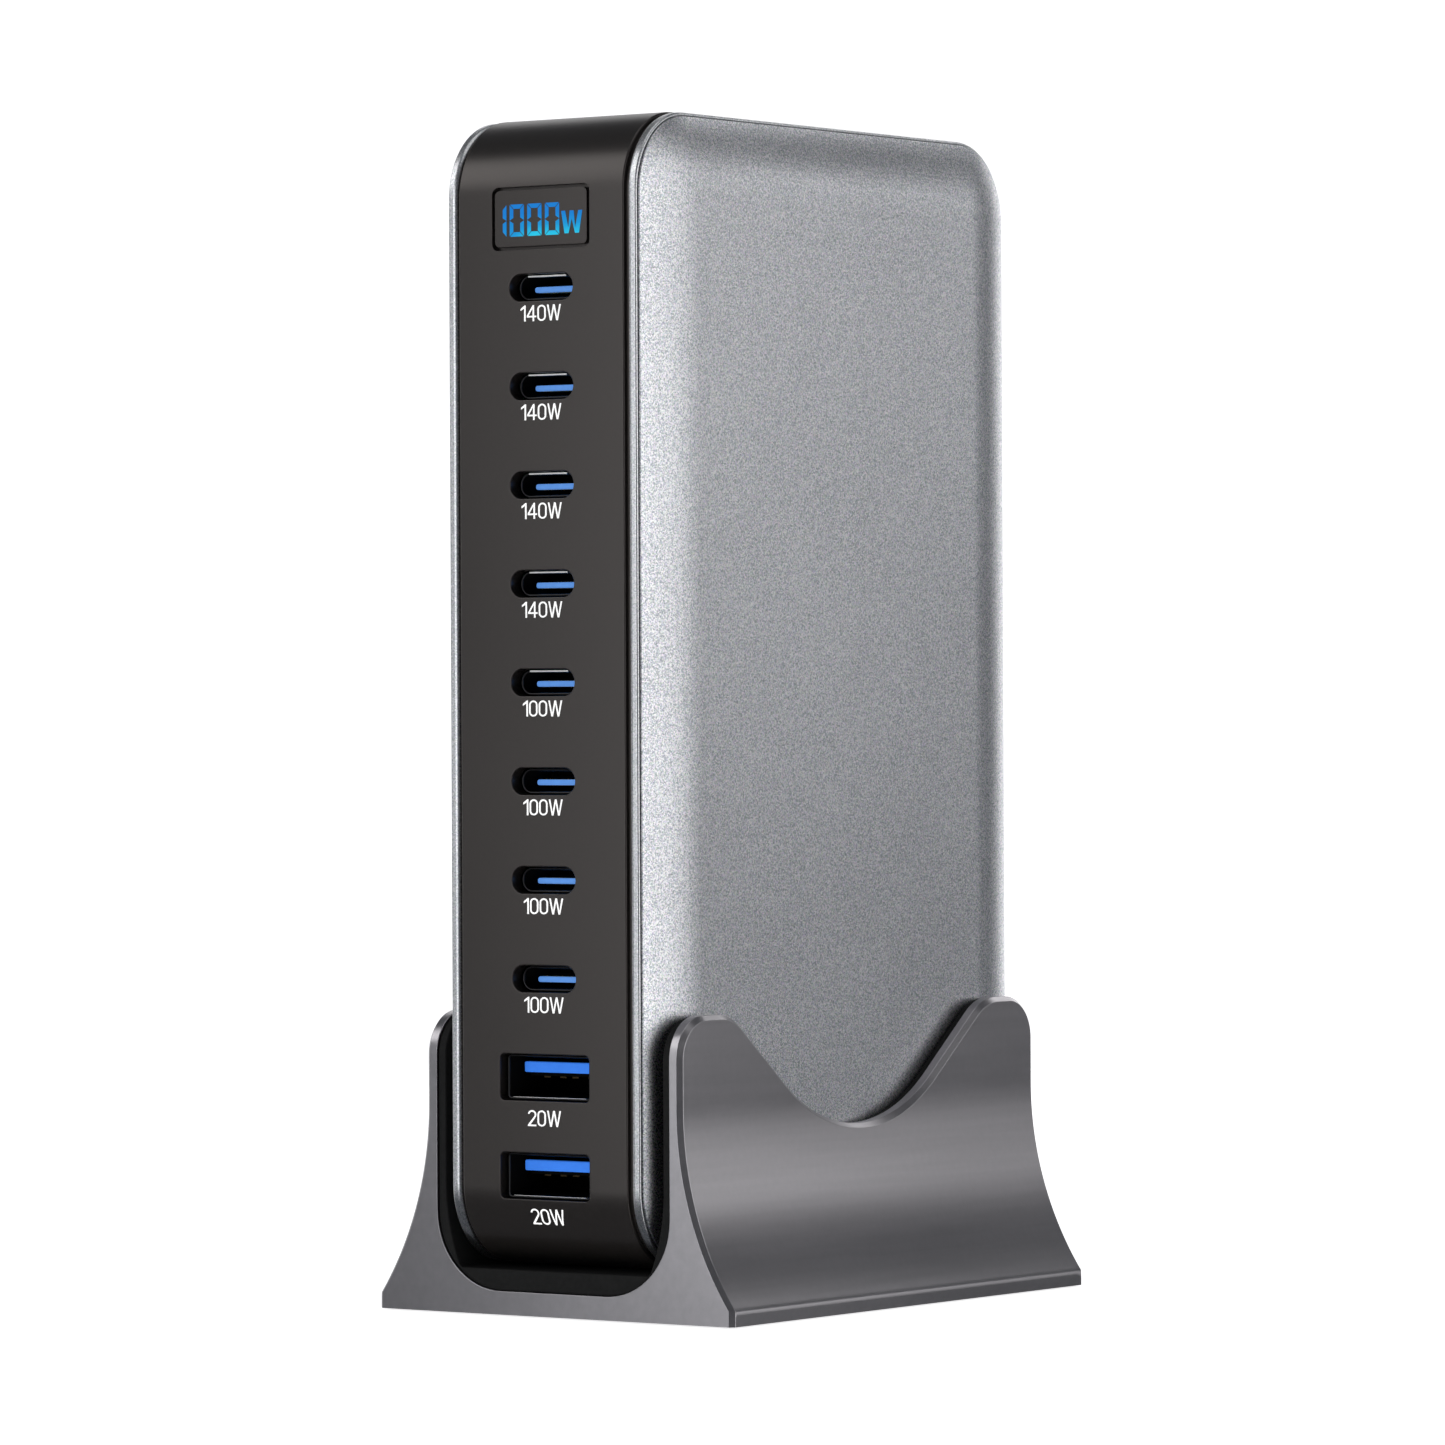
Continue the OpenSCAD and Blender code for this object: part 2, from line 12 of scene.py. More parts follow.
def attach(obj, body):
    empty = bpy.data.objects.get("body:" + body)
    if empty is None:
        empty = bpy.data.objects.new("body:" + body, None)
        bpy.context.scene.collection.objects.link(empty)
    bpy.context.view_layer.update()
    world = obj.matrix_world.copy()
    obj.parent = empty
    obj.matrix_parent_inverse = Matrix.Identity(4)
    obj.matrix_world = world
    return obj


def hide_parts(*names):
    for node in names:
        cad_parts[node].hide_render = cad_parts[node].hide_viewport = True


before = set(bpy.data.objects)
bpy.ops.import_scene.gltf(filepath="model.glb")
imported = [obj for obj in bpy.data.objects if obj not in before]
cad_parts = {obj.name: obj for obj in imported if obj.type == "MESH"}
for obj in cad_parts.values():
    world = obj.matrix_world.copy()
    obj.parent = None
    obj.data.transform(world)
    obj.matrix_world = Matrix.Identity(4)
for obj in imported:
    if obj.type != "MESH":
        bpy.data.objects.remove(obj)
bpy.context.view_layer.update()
MM = 0.001
WELD = 500  # points that round to the same 1/500 mm become one

# ---------------------------------------------------------------- sizes, in mm, as in the CAD
# the charger's body: depth, height, width, height of its bottom, corner radius
BODY_D, BODY_H, BODY_W, BODY_Z, CORNER = 83.2, 146.5, 34.0, 6.2, 10.5
ZC = BODY_Z + BODY_H / 2
FACE_Y = BODY_D / 2
CY, CZ = FACE_Y - CORNER, BODY_H / 2 - CORNER
# the black band: half width of its face, of its grooves, groove depth, wall, edge radius
BAND_X, GROOVE_X, GROOVE_D, WALL, EDGE = 13.0, 14.0, 0.6, 2.0, 0.2
SKIN = 0.012  # how far the visible band stays below the CAD face, so that labels fit above it
# the silver rim: depth below the band's face, width, highest x, where its flank starts, flank width
RIM_IN, RIM_W, RIM_X, RIM_FLANK, BEAD_WIDE = 0.15, 0.38, 14.88, 13.5, 0.6
# the cover behind the rim: x of its floor under the plate, its inner face and its shelf, the shelf's depth
# and thickness, and the clearance to the parts it meets
TRAY_X, COVER_X, SHELF_X, SHELF_D, SHELF_T, CLEAR = 14.15, 13.0, 11.6, 2.1, 1.2, 0.02
# the bulged plate: depth of its edge, underside, drop of its edge below the rim, edge radius
PLATE_IN, PLATE_X0, PLATE_EDGE, PLATE_R = 0.64, 14.15, 0.25, 0.1
# ports, display and inlet: heights, and (width, height, corner radius) of each opening
PORT_TOP, PITCH, DISP_Z, INLET_Z = 130.6, 12.5, 139.4, 24.0
USB_C, USB_A = range(8), range(8, 10)
TONGUE_Y = -38.4  # front of the tongue in every socket
C_HOLE, A_HOLE, DISP_HOLE, DISP_GAP = (10.0, 3.4, 1.7), (14.15, 5.9, 0.7), (15.4, 8.0, 0.9), (13.6, 6.2, 0.3)
INLET_HOLE = (18.3, 11.3, 1.65)

# the stand: half length, half widths of base and wall, the pocket, the flare, the saddle and the ears
STAND_HD, BASE_HW, WALL_HW, POCKET_HW, POCKET_Z, POCKET_R = 40.1, 28.1, 20.2, 18.4, 3.2, 10.0
FLARE_R, FLARE_Z, EAR_Z, SADDLE_Z, SADDLE_R = 43.0, 27.0, 38.65, 23.5, 27.0
SLOPE, EAR_IN, EAR_OUT, FOOT_OUT = math.radians(38), 8.0, 5.6, 0.2
# its edges, then the liner: edge radius, distance behind the stand's faces, gap to the charger
STAND_CHAMFER, STAND_EASE, POCKET_EDGE = 0.62, 0.12, 0.09
LINER_R, LINER_BACK, LINER_GAP = 0.2, 0.3, 0.2


# ---------------------------------------------------------------- mesh building
def linked(name, data):
    """A new object for a mesh, light or camera, linked into the scene."""
    ob = bpy.data.objects.new(name, data)
    bpy.context.scene.collection.objects.link(ob)
    return ob


class Build:
    """Collects vertices in mm with their normals and faces, then makes one welded object in metres."""

    def __init__(self):
        self.v, self.n, self.f, self.m, self.count = [], [], [], [], 0

    def add(self, pts, nrm):
        """Adds vertices and returns the index of the first."""
        pts = np.asarray(pts, float)
        nrm = np.broadcast_to(np.asarray(nrm, float), pts.shape).reshape(-1, 3)
        pts = pts.reshape(-1, 3)
        self.v.append(pts)
        self.n.append(nrm / np.maximum(np.linalg.norm(nrm, axis=1, keepdims=True), 1e-9))
        self.count += len(pts)
        return self.count - len(pts)

    def grid(self, p, n, close_a=False, close_b=False, mat=0):
        """Quads over a (rows, columns, 3) array of points, closed along either direction if asked."""
        p = np.asarray(p)
        a, b = p.shape[:2]
        base = self.add(p, n)
        for i in range(a if close_a else a - 1):
            i2 = (i + 1) % a
            for j in range(b if close_b else b - 1):
                j2 = (j + 1) % b
                self.f.append((base + i * b + j, base + i * b + j2, base + i2 * b + j2, base + i2 * b + j))
                self.m.append(mat)

    def tris(self, p, n, t, mat=0):
        """Faces t over the points p."""
        base = self.add(p, n)
        for face in t:
            self.f.append(tuple(base + int(k) for k in face))
            self.m.append(mat)

    def ngon(self, p, n, mat=0):
        """One flat face through all the points."""
        p = np.asarray(p, float)
        self.tris(p, n, [tuple(range(len(p)))], mat)

    def mirrored(self):
        """Adds a copy of everything, mirrored from one side to the other."""
        faces, mats = list(self.f), list(self.m)
        v, n = np.concatenate(self.v), np.concatenate(self.n)
        base = self.add(v * [-1, 1, 1], n * [-1, 1, 1])
        self.f += [tuple(base + k for k in f) for f in faces]
        self.m += mats

    def obj(self, name, mats, body, slot, replaces=(), move=(0, 0, 0), flip_x=False):
        """Welds equal points, turns faces to their normals, drops doubles, and makes the object."""
        v, n = np.concatenate(self.v), np.concatenate(self.n)
        if flip_x:
            v, n = v * [-1, 1, 1], n * [-1, 1, 1]
        v = v + np.asarray(move, float)
        key = np.round(v * WELD).astype(np.int64)
        _, first, back = np.unique(key, axis=0, return_index=True, return_inverse=True)
        back = back.reshape(-1)
        pos = v[first]
        faces, norms, midx, seen = [], [], [], set()
        for f, m in zip(self.f, self.m):
            ring = [(int(back[k]), k) for k in f]
            ring = [r for i, r in enumerate(ring) if r[0] != ring[i - 1][0]]
            tag = frozenset(r[0] for r in ring)
            if len(tag) < 3 or tag in seen:
                continue
            seen.add(tag)
            q = pos[[r[0] for r in ring]]
            geo = np.cross(q, np.roll(q, -1, 0)).sum(0)
            want = n[[r[1] for r in ring]].sum(0)
            if geo @ want < 0:
                ring.reverse()
            faces.append([r[0] for r in ring])
            norms += [tuple(n[r[1]]) for r in ring]
            midx.append(m)
        mesh = bpy.data.meshes.new(name)
        mesh.from_pydata((pos * MM).tolist(), [], faces)
        for mt in mats:
            mesh.materials.append(mt)
        mesh.polygons.foreach_set("material_index", midx)
        mesh.polygons.foreach_set("use_smooth", [True] * len(faces))
        mesh.normals_split_custom_set(norms)
        mesh.update()
        ob = linked(name, mesh)
        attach(ob, body)
        if replaces:
            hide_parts(*replaces)
        return ob


def rounded(w, h, r, seg=12, sides=1):
    """Closed outline of a rounded rectangle, with its outward normals. sides splits each straight edge."""
    pts, nrm = [], []
    centres = [(w / 2 - r, h / 2 - r), (r - w / 2, h / 2 - r), (r - w / 2, r - h / 2), (w / 2 - r, r - h / 2)]
    for q, c in enumerate(centres):
        for k in range(seg + 1):
            a = math.pi / 2 * (q + k / seg)
            nrm.append((math.cos(a), math.sin(a)))
            pts.append((c[0] + r * math.cos(a), c[1] + r * math.sin(a)))
        nxt = centres[(q + 1) % 4]
        a = math.pi / 2 * (q + 1)
        start, end = [(k[0] + r * math.cos(a), k[1] + r * math.sin(a)) for k in (c, nxt)]
        for k in range(1, sides):
            t = k / sides
            pts.append((start[0] * (1 - t) + end[0] * t, start[1] * (1 - t) + end[1] * t))
            nrm.append((math.cos(a), math.sin(a)))
    return np.array(pts), np.array(nrm)


def unit(a):
    """Unit vectors at the angles a, in radians."""
    return np.stack([np.cos(a), np.sin(a)], 1)


def at_y(q, y):
    """Points (or normals) of an (x, z) outline, given their y."""
    return np.stack([q[:, 0], np.broadcast_to(y, len(q)), q[:, 1]], 1)


def quarter(c, r, a0, a1, steps=5):
    """Points of an arc and their outward normals, angles in degrees."""
    d = unit(np.radians(np.linspace(a0, a1, steps)))
    return np.asarray(c) + r * d, d


def chain(*parts):
    """Joins pieces of a profile end to end."""
    return np.concatenate([p[0] for p in parts]), np.concatenate([p[1] for p in parts])


def flat(p0, p1, n):
    """A straight piece of a profile."""
    return np.array([p0, p1], float), np.array([n, n], float)


def inside(p, poly):
    """Which of the points p lie in the closed polygon."""
    x, y = p[:, 0], p[:, 1]
    hit = np.zeros(len(p), bool)
    for (x0, y0), (x1, y1) in zip(poly, np.roll(poly, -1, 0)):
        cross = (y0 > y) != (y1 > y)
        with np.errstate(divide="ignore", invalid="ignore"):
            hit ^= cross & (x < (x1 - x0) * (y - y0) / (y1 - y0 + 1e-30) + x0)
    return hit


def clear_of(p, poly, gap):
    """Which of the points p are at least gap from the polygon's vertices and edges."""
    ok = np.ones(len(p), bool)
    for q0, q1 in zip(poly, np.roll(poly, -1, 0)):
        d = q1 - q0
        t = np.clip(((p - q0) @ d) / max(d @ d, 1e-12), 0, 1)
        ok &= np.linalg.norm(p - (q0 + t[:, None] * d), axis=1) > gap
    return ok


def region(outer, holes=(), extra=None, gap=0.25):
    """Triangles of a flat region with holes. extra points go in where they are clear of the outlines."""
    if extra is not None and len(extra):
        extra = extra[inside(extra, outer) & clear_of(extra, outer, gap)]
        for h in holes:
            extra = extra[~inside(extra, h) & clear_of(extra, h, gap)]
    loops = [outer, *holes]
    pts, edges = [], []
    for lp in loops:
        b = len(pts)
        pts += [tuple(q) for q in lp]
        edges += [(b + i, b + (i + 1) % len(lp)) for i in range(len(lp))]
    if extra is not None:
        pts += [tuple(q) for q in extra]
    vs, _, fs, *_ = delaunay_2d_cdt([Vector(q) for q in pts], edges, [], 0, 1e-7)
    vs = np.array([tuple(q) for q in vs])
    fs = np.array([tuple(f) for f in fs])
    mid = vs[fs].mean(1)
    keep = inside(mid, outer)
    for h in holes:
        keep &= ~inside(mid, h)
    return vs, fs[keep]


# ---------------------------------------------------------------- materials
class Shader:
    """A material with its Principled node, and shorthand for adding procedural nodes to it."""

    def __init__(self, name):
        self.mt = bpy.data.materials.new(name)
        self.mt.use_nodes = True
        self.nodes, self.link = self.mt.node_tree.nodes, self.mt.node_tree.links.new
        self.bsdf = next(k for k in self.nodes if k.type == "BSDF_PRINCIPLED")
        self.coord = self.nodes.new("ShaderNodeTexCoord").outputs["Object"]

    def noise(self, scale, detail=2.0, roughness=0.5, vector=None):
        """Noise over the object's own coordinates, or over another vector."""
        t = self.nodes.new("ShaderNodeTexNoise")
        t.inputs["Scale"].default_value = scale
        t.inputs["Detail"].default_value = detail
        t.inputs["Roughness"].default_value = roughness
        self.link(vector or self.coord, t.inputs["Vector"])
        return t

    def ramp(self, src, lo, hi, p0=0.3, p1=0.7):
        """Maps a value from p0..p1 to lo..hi."""
        r = self.nodes.new("ShaderNodeMapRange")
        for key, value in (("From Min", p0), ("From Max", p1), ("To Min", lo), ("To Max", hi)):
            r.inputs[key].default_value = value
        self.link(src, r.inputs["Value"])
        return r

    def times(self, a, b):
        """The product of two nodes' values."""
        k = self.nodes.new("ShaderNodeMath")
        k.operation = "MULTIPLY"
        self.link(a.outputs[0], k.inputs[0])
        self.link(b.outputs[0], k.inputs[1])
        return k

    def glow(self, color, strength):
        """Emission that isn't sampled as a lamp, which would cost time and add noise."""
        self.link(color, self.bsdf.inputs["Emission Color"])
        self.bsdf.inputs["Emission Strength"].default_value = strength
        self.mt.cycles.emission_sampling = "NONE"


def material(name, color, metallic=0.0, rough=0.5, grain=(900, 0.05), speck=None,
             bump=(1500, 0.05, 0.00002), cloud=(30, 0.06), emission=None, spec=0.5, streak=0.0,
             chroma=0.04, tone=None):
    """Principled material with procedural grain, cloudiness, speckle and fine bump.

    grain, speck and cloud are (scale per metre, strength), bump is (scale, strength, distance). streak draws
    the brushed lines of the stand, chroma is the flakes' share of colour, tone tints the reflections.
    """
    sh = Shader(name)
    nodes, link, bsdf = sh.nodes, sh.link, sh.bsdf
    bsdf.inputs["Metallic"].default_value = metallic
    bsdf.inputs["Specular IOR Level"].default_value = spec
    if tone:
        bsdf.inputs["Specular Tint"].default_value = (*tone, 1)
    fine = sh.noise(grain[0], 3.0).outputs[0]
    big = sh.noise(cloud[0], 4.0).outputs[0]
    shade = sh.times(sh.ramp(fine, 1 - grain[1], 1 + grain[1]), sh.ramp(big, 1 - cloud[1], 1 + cloud[1]))
    mix = nodes.new("ShaderNodeVectorMath")
    mix.operation = "SCALE"
    mix.inputs[0].default_value = color
    if speck:
        flakes = nodes.new("ShaderNodeTexVoronoi")
        flakes.inputs["Scale"].default_value = speck[0]
        link(sh.coord, flakes.inputs["Vector"])
        one = nodes.new("ShaderNodeSeparateColor")
        link(flakes.outputs["Color"], one.inputs[0])
        shade = sh.times(shade, sh.ramp(one.outputs[0], 1 - speck[1], 1 + speck[1], 0.0, 1.0))
        tint = nodes.new("ShaderNodeVectorMath")
        tint.operation = "MULTIPLY_ADD"
        tint.inputs[1].default_value = [2 * chroma * c for c in color]
        tint.inputs[2].default_value = [(1 - chroma) * c for c in color]
        link(flakes.outputs["Color"], tint.inputs[0])
        link(tint.outputs[0], mix.inputs[0])
    if streak:
        stretch = nodes.new("ShaderNodeMapping")
        stretch.inputs["Scale"].default_value = (1.0, 0.04, 1.0)
        link(sh.coord, stretch.inputs["Vector"])
        lines = sh.noise(700, 3.0, vector=stretch.outputs[0])
        shade = sh.times(shade, sh.ramp(lines.outputs[0], 1 - streak, 1 + streak))
    link(shade.outputs[0], mix.inputs["Scale"])
    link(mix.outputs[0], bsdf.inputs["Base Color"])
    # the variation stays small: where roughness falls under about 0.27 the denoiser leaves dark specks
    uneven = sh.times(sh.ramp(fine, rough * 0.965, rough * 1.035), sh.ramp(big, 0.97, 1.03))
    link(uneven.outputs[0], bsdf.inputs["Roughness"])
    bm = nodes.new("ShaderNodeBump")
    bm.inputs["Strength"].default_value = bump[1]
    bm.inputs["Distance"].default_value = bump[2]
    link(sh.noise(bump[0], 2.0, 0.6).outputs[0], bm.inputs["Height"])
    link(bm.outputs[0], bsdf.inputs["Normal"])
    if emission:
        sh.glow(mix.outputs[0], emission)
    return sh.mt


M_BAND = material("band_black", (0.013, 0.0112, 0.0105), rough=0.31, grain=(2600, 0.10),
                  bump=(2600, 0.12, 0.00003), spec=0.85, tone=(1.0, 0.92, 0.88))
M_SILVER = material("plate_silver", (0.715, 0.725, 0.76), metallic=1.0, rough=0.35, grain=(5200, 0.2),
                    speck=(6800, 0.44), bump=(6000, 0.08, 0.00002), chroma=0.09)
M_RIM = material("rim_silver", (0.72, 0.73, 0.745), metallic=1.0, rough=0.34, grain=(5200, 0.15),
                 speck=(6800, 0.2), bump=(5200, 0.06, 0.00002))
M_STAND = material("stand_grey", (0.444, 0.428, 0.445), metallic=1.0, rough=0.298, grain=(1100, 0.02),
                   bump=(1400, 0.02, 0.00001), cloud=(25, 0.015), streak=0.045)
M_LINER = material("liner_rubber", (0.010, 0.010, 0.010), rough=0.75, grain=(1800, 0.2),
                   bump=(1800, 0.3, 0.00004), spec=0.2)
# painted shade: the insides of the sockets and the tongues' roots and back blocks are matt black without
# reflection, standing in for the shadow inside the sockets
M_PORT_SHADE = material("port_painted_shade", (0.005, 0.005, 0.005), rough=0.9, grain=(1500, 0.1), spec=0.0)
# painted shade: the shells' steel is near black, so that their lips give no ring of reflected light; the lit
# lip is the bright copy below
M_SHADED_STEEL = material("port_steel", (0.045, 0.045, 0.047), metallic=1.0, rough=0.3, grain=(1500, 0.08))
# painted highlight: a bright copy of the shell steel, laid as a bar only where a line of light shows on a
# shell's lip
M_LIP_HIGHLIGHT = material("port_lip_highlight", (0.92, 0.92, 0.90), metallic=1.0, rough=0.32, grain=(1500, 0.08))
# painted light: the tongues are blue plastic that glows, so that they read bright inside the shadowed sockets
M_BLUE_C_GLOW = material("tongue_light_blue_painted_glow", (0.115, 0.305, 0.76), rough=0.35, grain=(1500, 0.05), emission=0.55,
                    spec=0.1)
M_BLUE_A_GLOW = material("tongue_blue_painted_glow", (0.036, 0.18, 0.70), rough=0.35, grain=(1500, 0.05), emission=0.55,
                    spec=0.1)
M_WINDOW = material("window_smoke", (0.013, 0.0112, 0.0105), rough=0.30, grain=(2600, 0.08), spec=0.85,
                    tone=(1.0, 0.92, 0.88))
# white print that also glows, as painted light
M_LABEL_GLOW = material("label_white_painted_glow", (0.92, 0.92, 0.91), rough=0.5, grain=(2600, 0.04), emission=0.35)
M_GOLD = material("contact_gold", (0.80, 0.58, 0.24), metallic=1.0, rough=0.25)
M_INLET = material("inlet_black", (0.015, 0.015, 0.015), rough=0.3, grain=(1800, 0.1))
M_PIN = material("pin_nickel", (0.62, 0.61, 0.59), metallic=1.0, rough=0.22)

# ---------------------------------------------------------------- the charger's side outline
SEG = 16
OUT_P, OUT_N = rounded(BODY_D, BODY_H, CORNER, seg=SEG, sides=4)
CUT = 4  # corner steps taken into the front and back patches
CUT_Z = CZ + CORNER * math.sin(math.pi / 2 * CUT / SEG)


def wrap(profile, build=None, pick=None):
    """Carries a profile of (depth, x), normals (outward, x), round the side outline or its points in pick."""
    b = build or Build()
    p, n = profile
    o, m = (OUT_P, OUT_N) if pick is None else (OUT_P[pick], OUT_N[pick])
    g, gn = np.empty((2, len(p), len(o), 3))
    g[:, :, 0], gn[:, :, 0] = p[:, 1:2], n[:, 1:2]
    g[:, :, 1:] = o - p[:, 0:1, None] * m + [0, ZC]
    gn[:, :, 1:] = n[:, 0:1, None] * m
    b.grid(g, gn, close_b=pick is None)
    return b


def wall_y(depth, z):
    """Distance from the middle to the wall, depth below the CAD face, round the corners too."""
    dz = np.maximum(np.abs(np.asarray(z, float) - ZC) - CZ, 0)
    return CY + np.sqrt(np.maximum((CORNER - depth) ** 2 - dz ** 2, 0))


def wall_n(depth, z):
    """Outward (y, z) normal of that wall."""
    z = np.asarray(z, float)
    dz = np.maximum(np.abs(z - ZC) - CZ, 0)
    s = dz / (CORNER - depth) * np.sign(z - ZC)
    return np.sqrt(1 - s ** 2), s


def hole(b, size, cz, fillet, side, seg=8, depth=WALL, sides=2):
    """Rounded edge and wall of an opening in the front (side -1) or back (side 1) wall.

    size is (width, height, corner radius). Returns the outlines of the opening at its face and at its back.
    """
    o, m = rounded(*size, seg, sides)
    steps = [(fillet * (1 - math.sin(a)), SKIN + fillet * (1 - math.cos(a)), math.cos(a), math.sin(a))
             for a in np.radians([0, 22.5, 45, 67.5, 90])]
    steps.append((0.0, depth, 0.0, 1.0))
    p, n = [], []
    for off, d, nf, ni in steps:
        q = o + m * off + [0, cz]
        ny, nz = wall_n(min(d, 1.0), q[:, 1])
        p.append(at_y(q, side * wall_y(d, q[:, 1])))
        n.append(np.stack([-m[:, 0] * ni, side * ny * nf, -m[:, 1] * ni + nz * nf], 1))
    b.grid(p, n, close_b=True)
    return o + m * fillet + [0, cz], o + [0, cz]


def patch(b, holes_out, holes_in, side):
    """The flat outer and inner sheets of the front or back wall, between the corners, with holes."""
    keep = [j for j in range(len(OUT_P)) if OUT_P[j, 0] * side > 0 and abs(OUT_P[j, 1]) <= CUT_Z + 1e-6]
    for depth, half, holes, sign in ((SKIN, BAND_X - EDGE, holes_out, 1), (WALL, GROOVE_X, holes_in, -1)):
        z = np.sort(np.unique(np.round(OUT_P[keep, 1] - depth * OUT_N[keep, 1] + ZC, 6)))
        outer = np.concatenate([np.stack([np.full(len(z), half), z], 1),
                                np.stack([np.full(len(z), -half), z[::-1]], 1)])
        xs = np.linspace(-half, half, 12)[1:-1]
        rows = np.concatenate([z[(z > z[0]) & (z < z[-1])], np.arange(math.ceil(z[0]) + 4, z[-1] - 4, 4.0)])
        extra = np.array([(x, q) for q in rows for x in xs])
        v, t = region(outer, holes, extra, 0.4)
        ny, nz = wall_n(depth, v[:, 1])
        p = at_y(v, side * wall_y(depth, v[:, 1]))
        n = np.stack([np.zeros(len(v)), side * ny, nz], 1) * sign
        b.tris(p, n, t)


def port_z(i):
    """Height of the middle of port i, counted from the top."""
    return PORT_TOP - PITCH * i


# ---------------------------------------------------------------- black band
def make_band():
    """The black case: edges and grooves round the outline, corner sheets, and the pierced front and back."""
    b = Build()
    arc_p, arc_n = quarter((0, 0), EDGE, 90, 0, 7)
    right = chain(
        (np.stack([SKIN + EDGE - arc_p[:, 1], BAND_X - EDGE + arc_p[:, 0]], 1), arc_n[:, ::-1]),
        flat((SKIN + EDGE, BAND_X), (GROOVE_D, BAND_X), (0, 1)),
        flat((GROOVE_D, BAND_X), (GROOVE_D, GROOVE_X), (1, 0)),
        flat((GROOVE_D, GROOVE_X), (WALL, GROOVE_X), (0, 1)),
    )
    wrap(right, build=b)
    wrap((right[0] * [1, -1], right[1] * [1, -1]), build=b)
    for top in (1, -1):
        idx = [j for j in range(len(OUT_P)) if OUT_P[j, 1] * top >= CUT_Z - 1e-6]
        idx.sort(key=lambda j: OUT_P[j, 0])
        wrap(flat((SKIN, BAND_X - EDGE), (SKIN, EDGE - BAND_X), (1, 0)), build=b, pick=idx)
        wrap(flat((WALL, GROOVE_X), (WALL, -GROOVE_X), (-1, 0)), build=b, pick=idx)
    cuts = [hole(b, C_HOLE, port_z(i), 0.16, -1, seg=10) for i in USB_C]
    cuts += [hole(b, A_HOLE, port_z(i), 0.14, -1, seg=6, sides=6) for i in USB_A]
    outs, ins = [c[0] for c in cuts], [c[1] for c in cuts]
    # display recess: a groove wall, a ledge, and the opening behind the window
    ledge_d = 1.0
    outs.append(hole(b, DISP_HOLE, DISP_Z, 0.06, -1, seg=6, depth=ledge_d, sides=6)[0])
    ledge, _ = rounded(*DISP_HOLE, 6, 6)
    inner, im = rounded(*DISP_GAP, 6, 6)
    q = inner + [0, DISP_Z]
    v, t = region(ledge + [0, DISP_Z], [q])
    b.tris(at_y(v, -wall_y(ledge_d, v[:, 1])), (0, -1, 0), t)
    b.grid([at_y(q, -wall_y(d, q[:, 1])) for d in (ledge_d, WALL)], [at_y(-im, 0)] * 2, close_b=True)
    ins.append(q)
    patch(b, outs, ins, -1)
    a, c = hole(b, INLET_HOLE, INLET_Z, 0.2, 1, sides=4)
    patch(b, [a], [c], 1)
    return b.obj("band_case", [M_BAND], "charger", "black_plastic", ["band"])


# ---------------------------------------------------------------- silver covers and bulged plates
def turn_in(arc, depth, x):
    """An arc from quarter(), moved to that depth and x. Its first axis is outward, its second is X."""
    p, n = arc
    return np.stack([depth - p[:, 0], x + p[:, 1]], 1), n


def rect_cap(b, x, n):
    """Closes the middle of a wrapped sheet, where the outline has shrunk to the corner centres."""
    o = OUT_P - CORNER * OUT_N
    b.ngon(np.stack([np.full(len(o), x), o[:, 0], o[:, 1] + ZC], 1), (n, 0, 0))


def side_name(side):
    """The word for side -1 or 1 in the names of nodes and pieces."""
    return "left" if side < 0 else "right"


def make_cover(side):
    """The silver cover of one side: its rim, the tray under the plate, and the shelf inside the band."""
    d0, d1, d2, d3 = RIM_IN, RIM_IN + RIM_W, GROOVE_D - CLEAR, SHELF_D + SHELF_T
    round_in, round_out = 0.06, 0.26
    # the rim's inner flank leans over the groove as a quarter of an ellipse
    a = np.radians(np.linspace(0, 90, 8))
    high = d2 - d0
    bead = (np.stack([d0 + high * (1 - np.cos(a)), RIM_FLANK + BEAD_WIDE * (1 - np.sin(a))], 1),
            np.stack([np.cos(a) / high, -np.sin(a) / BEAD_WIDE], 1))
    b = wrap(chain(
        flat((CORNER, TRAY_X), (d1, TRAY_X), (0, 1)),
        flat((d1, TRAY_X), (d1, RIM_X - 0.08), (-1, 0)),
        turn_in(quarter((0, 0), round_in, 180, 90, 3), d1 - round_in, RIM_X - round_in),
        turn_in(quarter((0, 0), round_out, 90, 0, 7), d0 + round_out, RIM_X - round_out),
        flat((d0, RIM_X - round_out), (d0, bead[0][0, 1]), (1, 0)),
        bead,
        flat(bead[0][-1], (d2, GROOVE_X), (-1, 0)),
        flat((d2, GROOVE_X), (SHELF_D, GROOVE_X), (0, -1)),
        flat((SHELF_D, GROOVE_X), (SHELF_D, SHELF_X), (1, 0)),
        flat((SHELF_D, SHELF_X), (d3, SHELF_X), (0, -1)),
        flat((d3, SHELF_X), (d3, COVER_X), (-1, 0)),
        flat((d3, COVER_X), (CORNER, COVER_X), (0, -1)),
    ))
    rect_cap(b, TRAY_X, 1)
    rect_cap(b, COVER_X, -1)
    name = side_name(side)
    return b.obj("rim_cover_" + name, [M_RIM], "charger", "rim_aluminium", ["cover_" + name], flip_x=side < 0)


def bulge():
    """Rise, radius and edge angle of the plate's bulge, an arc from its edge to the corner centres."""
    rise, reach = BODY_W / 2 - RIM_X - PLATE_EDGE, CORNER - PLATE_IN
    radius = (reach ** 2 + rise ** 2) / (2 * rise)
    return rise, radius, math.asin(reach / radius)


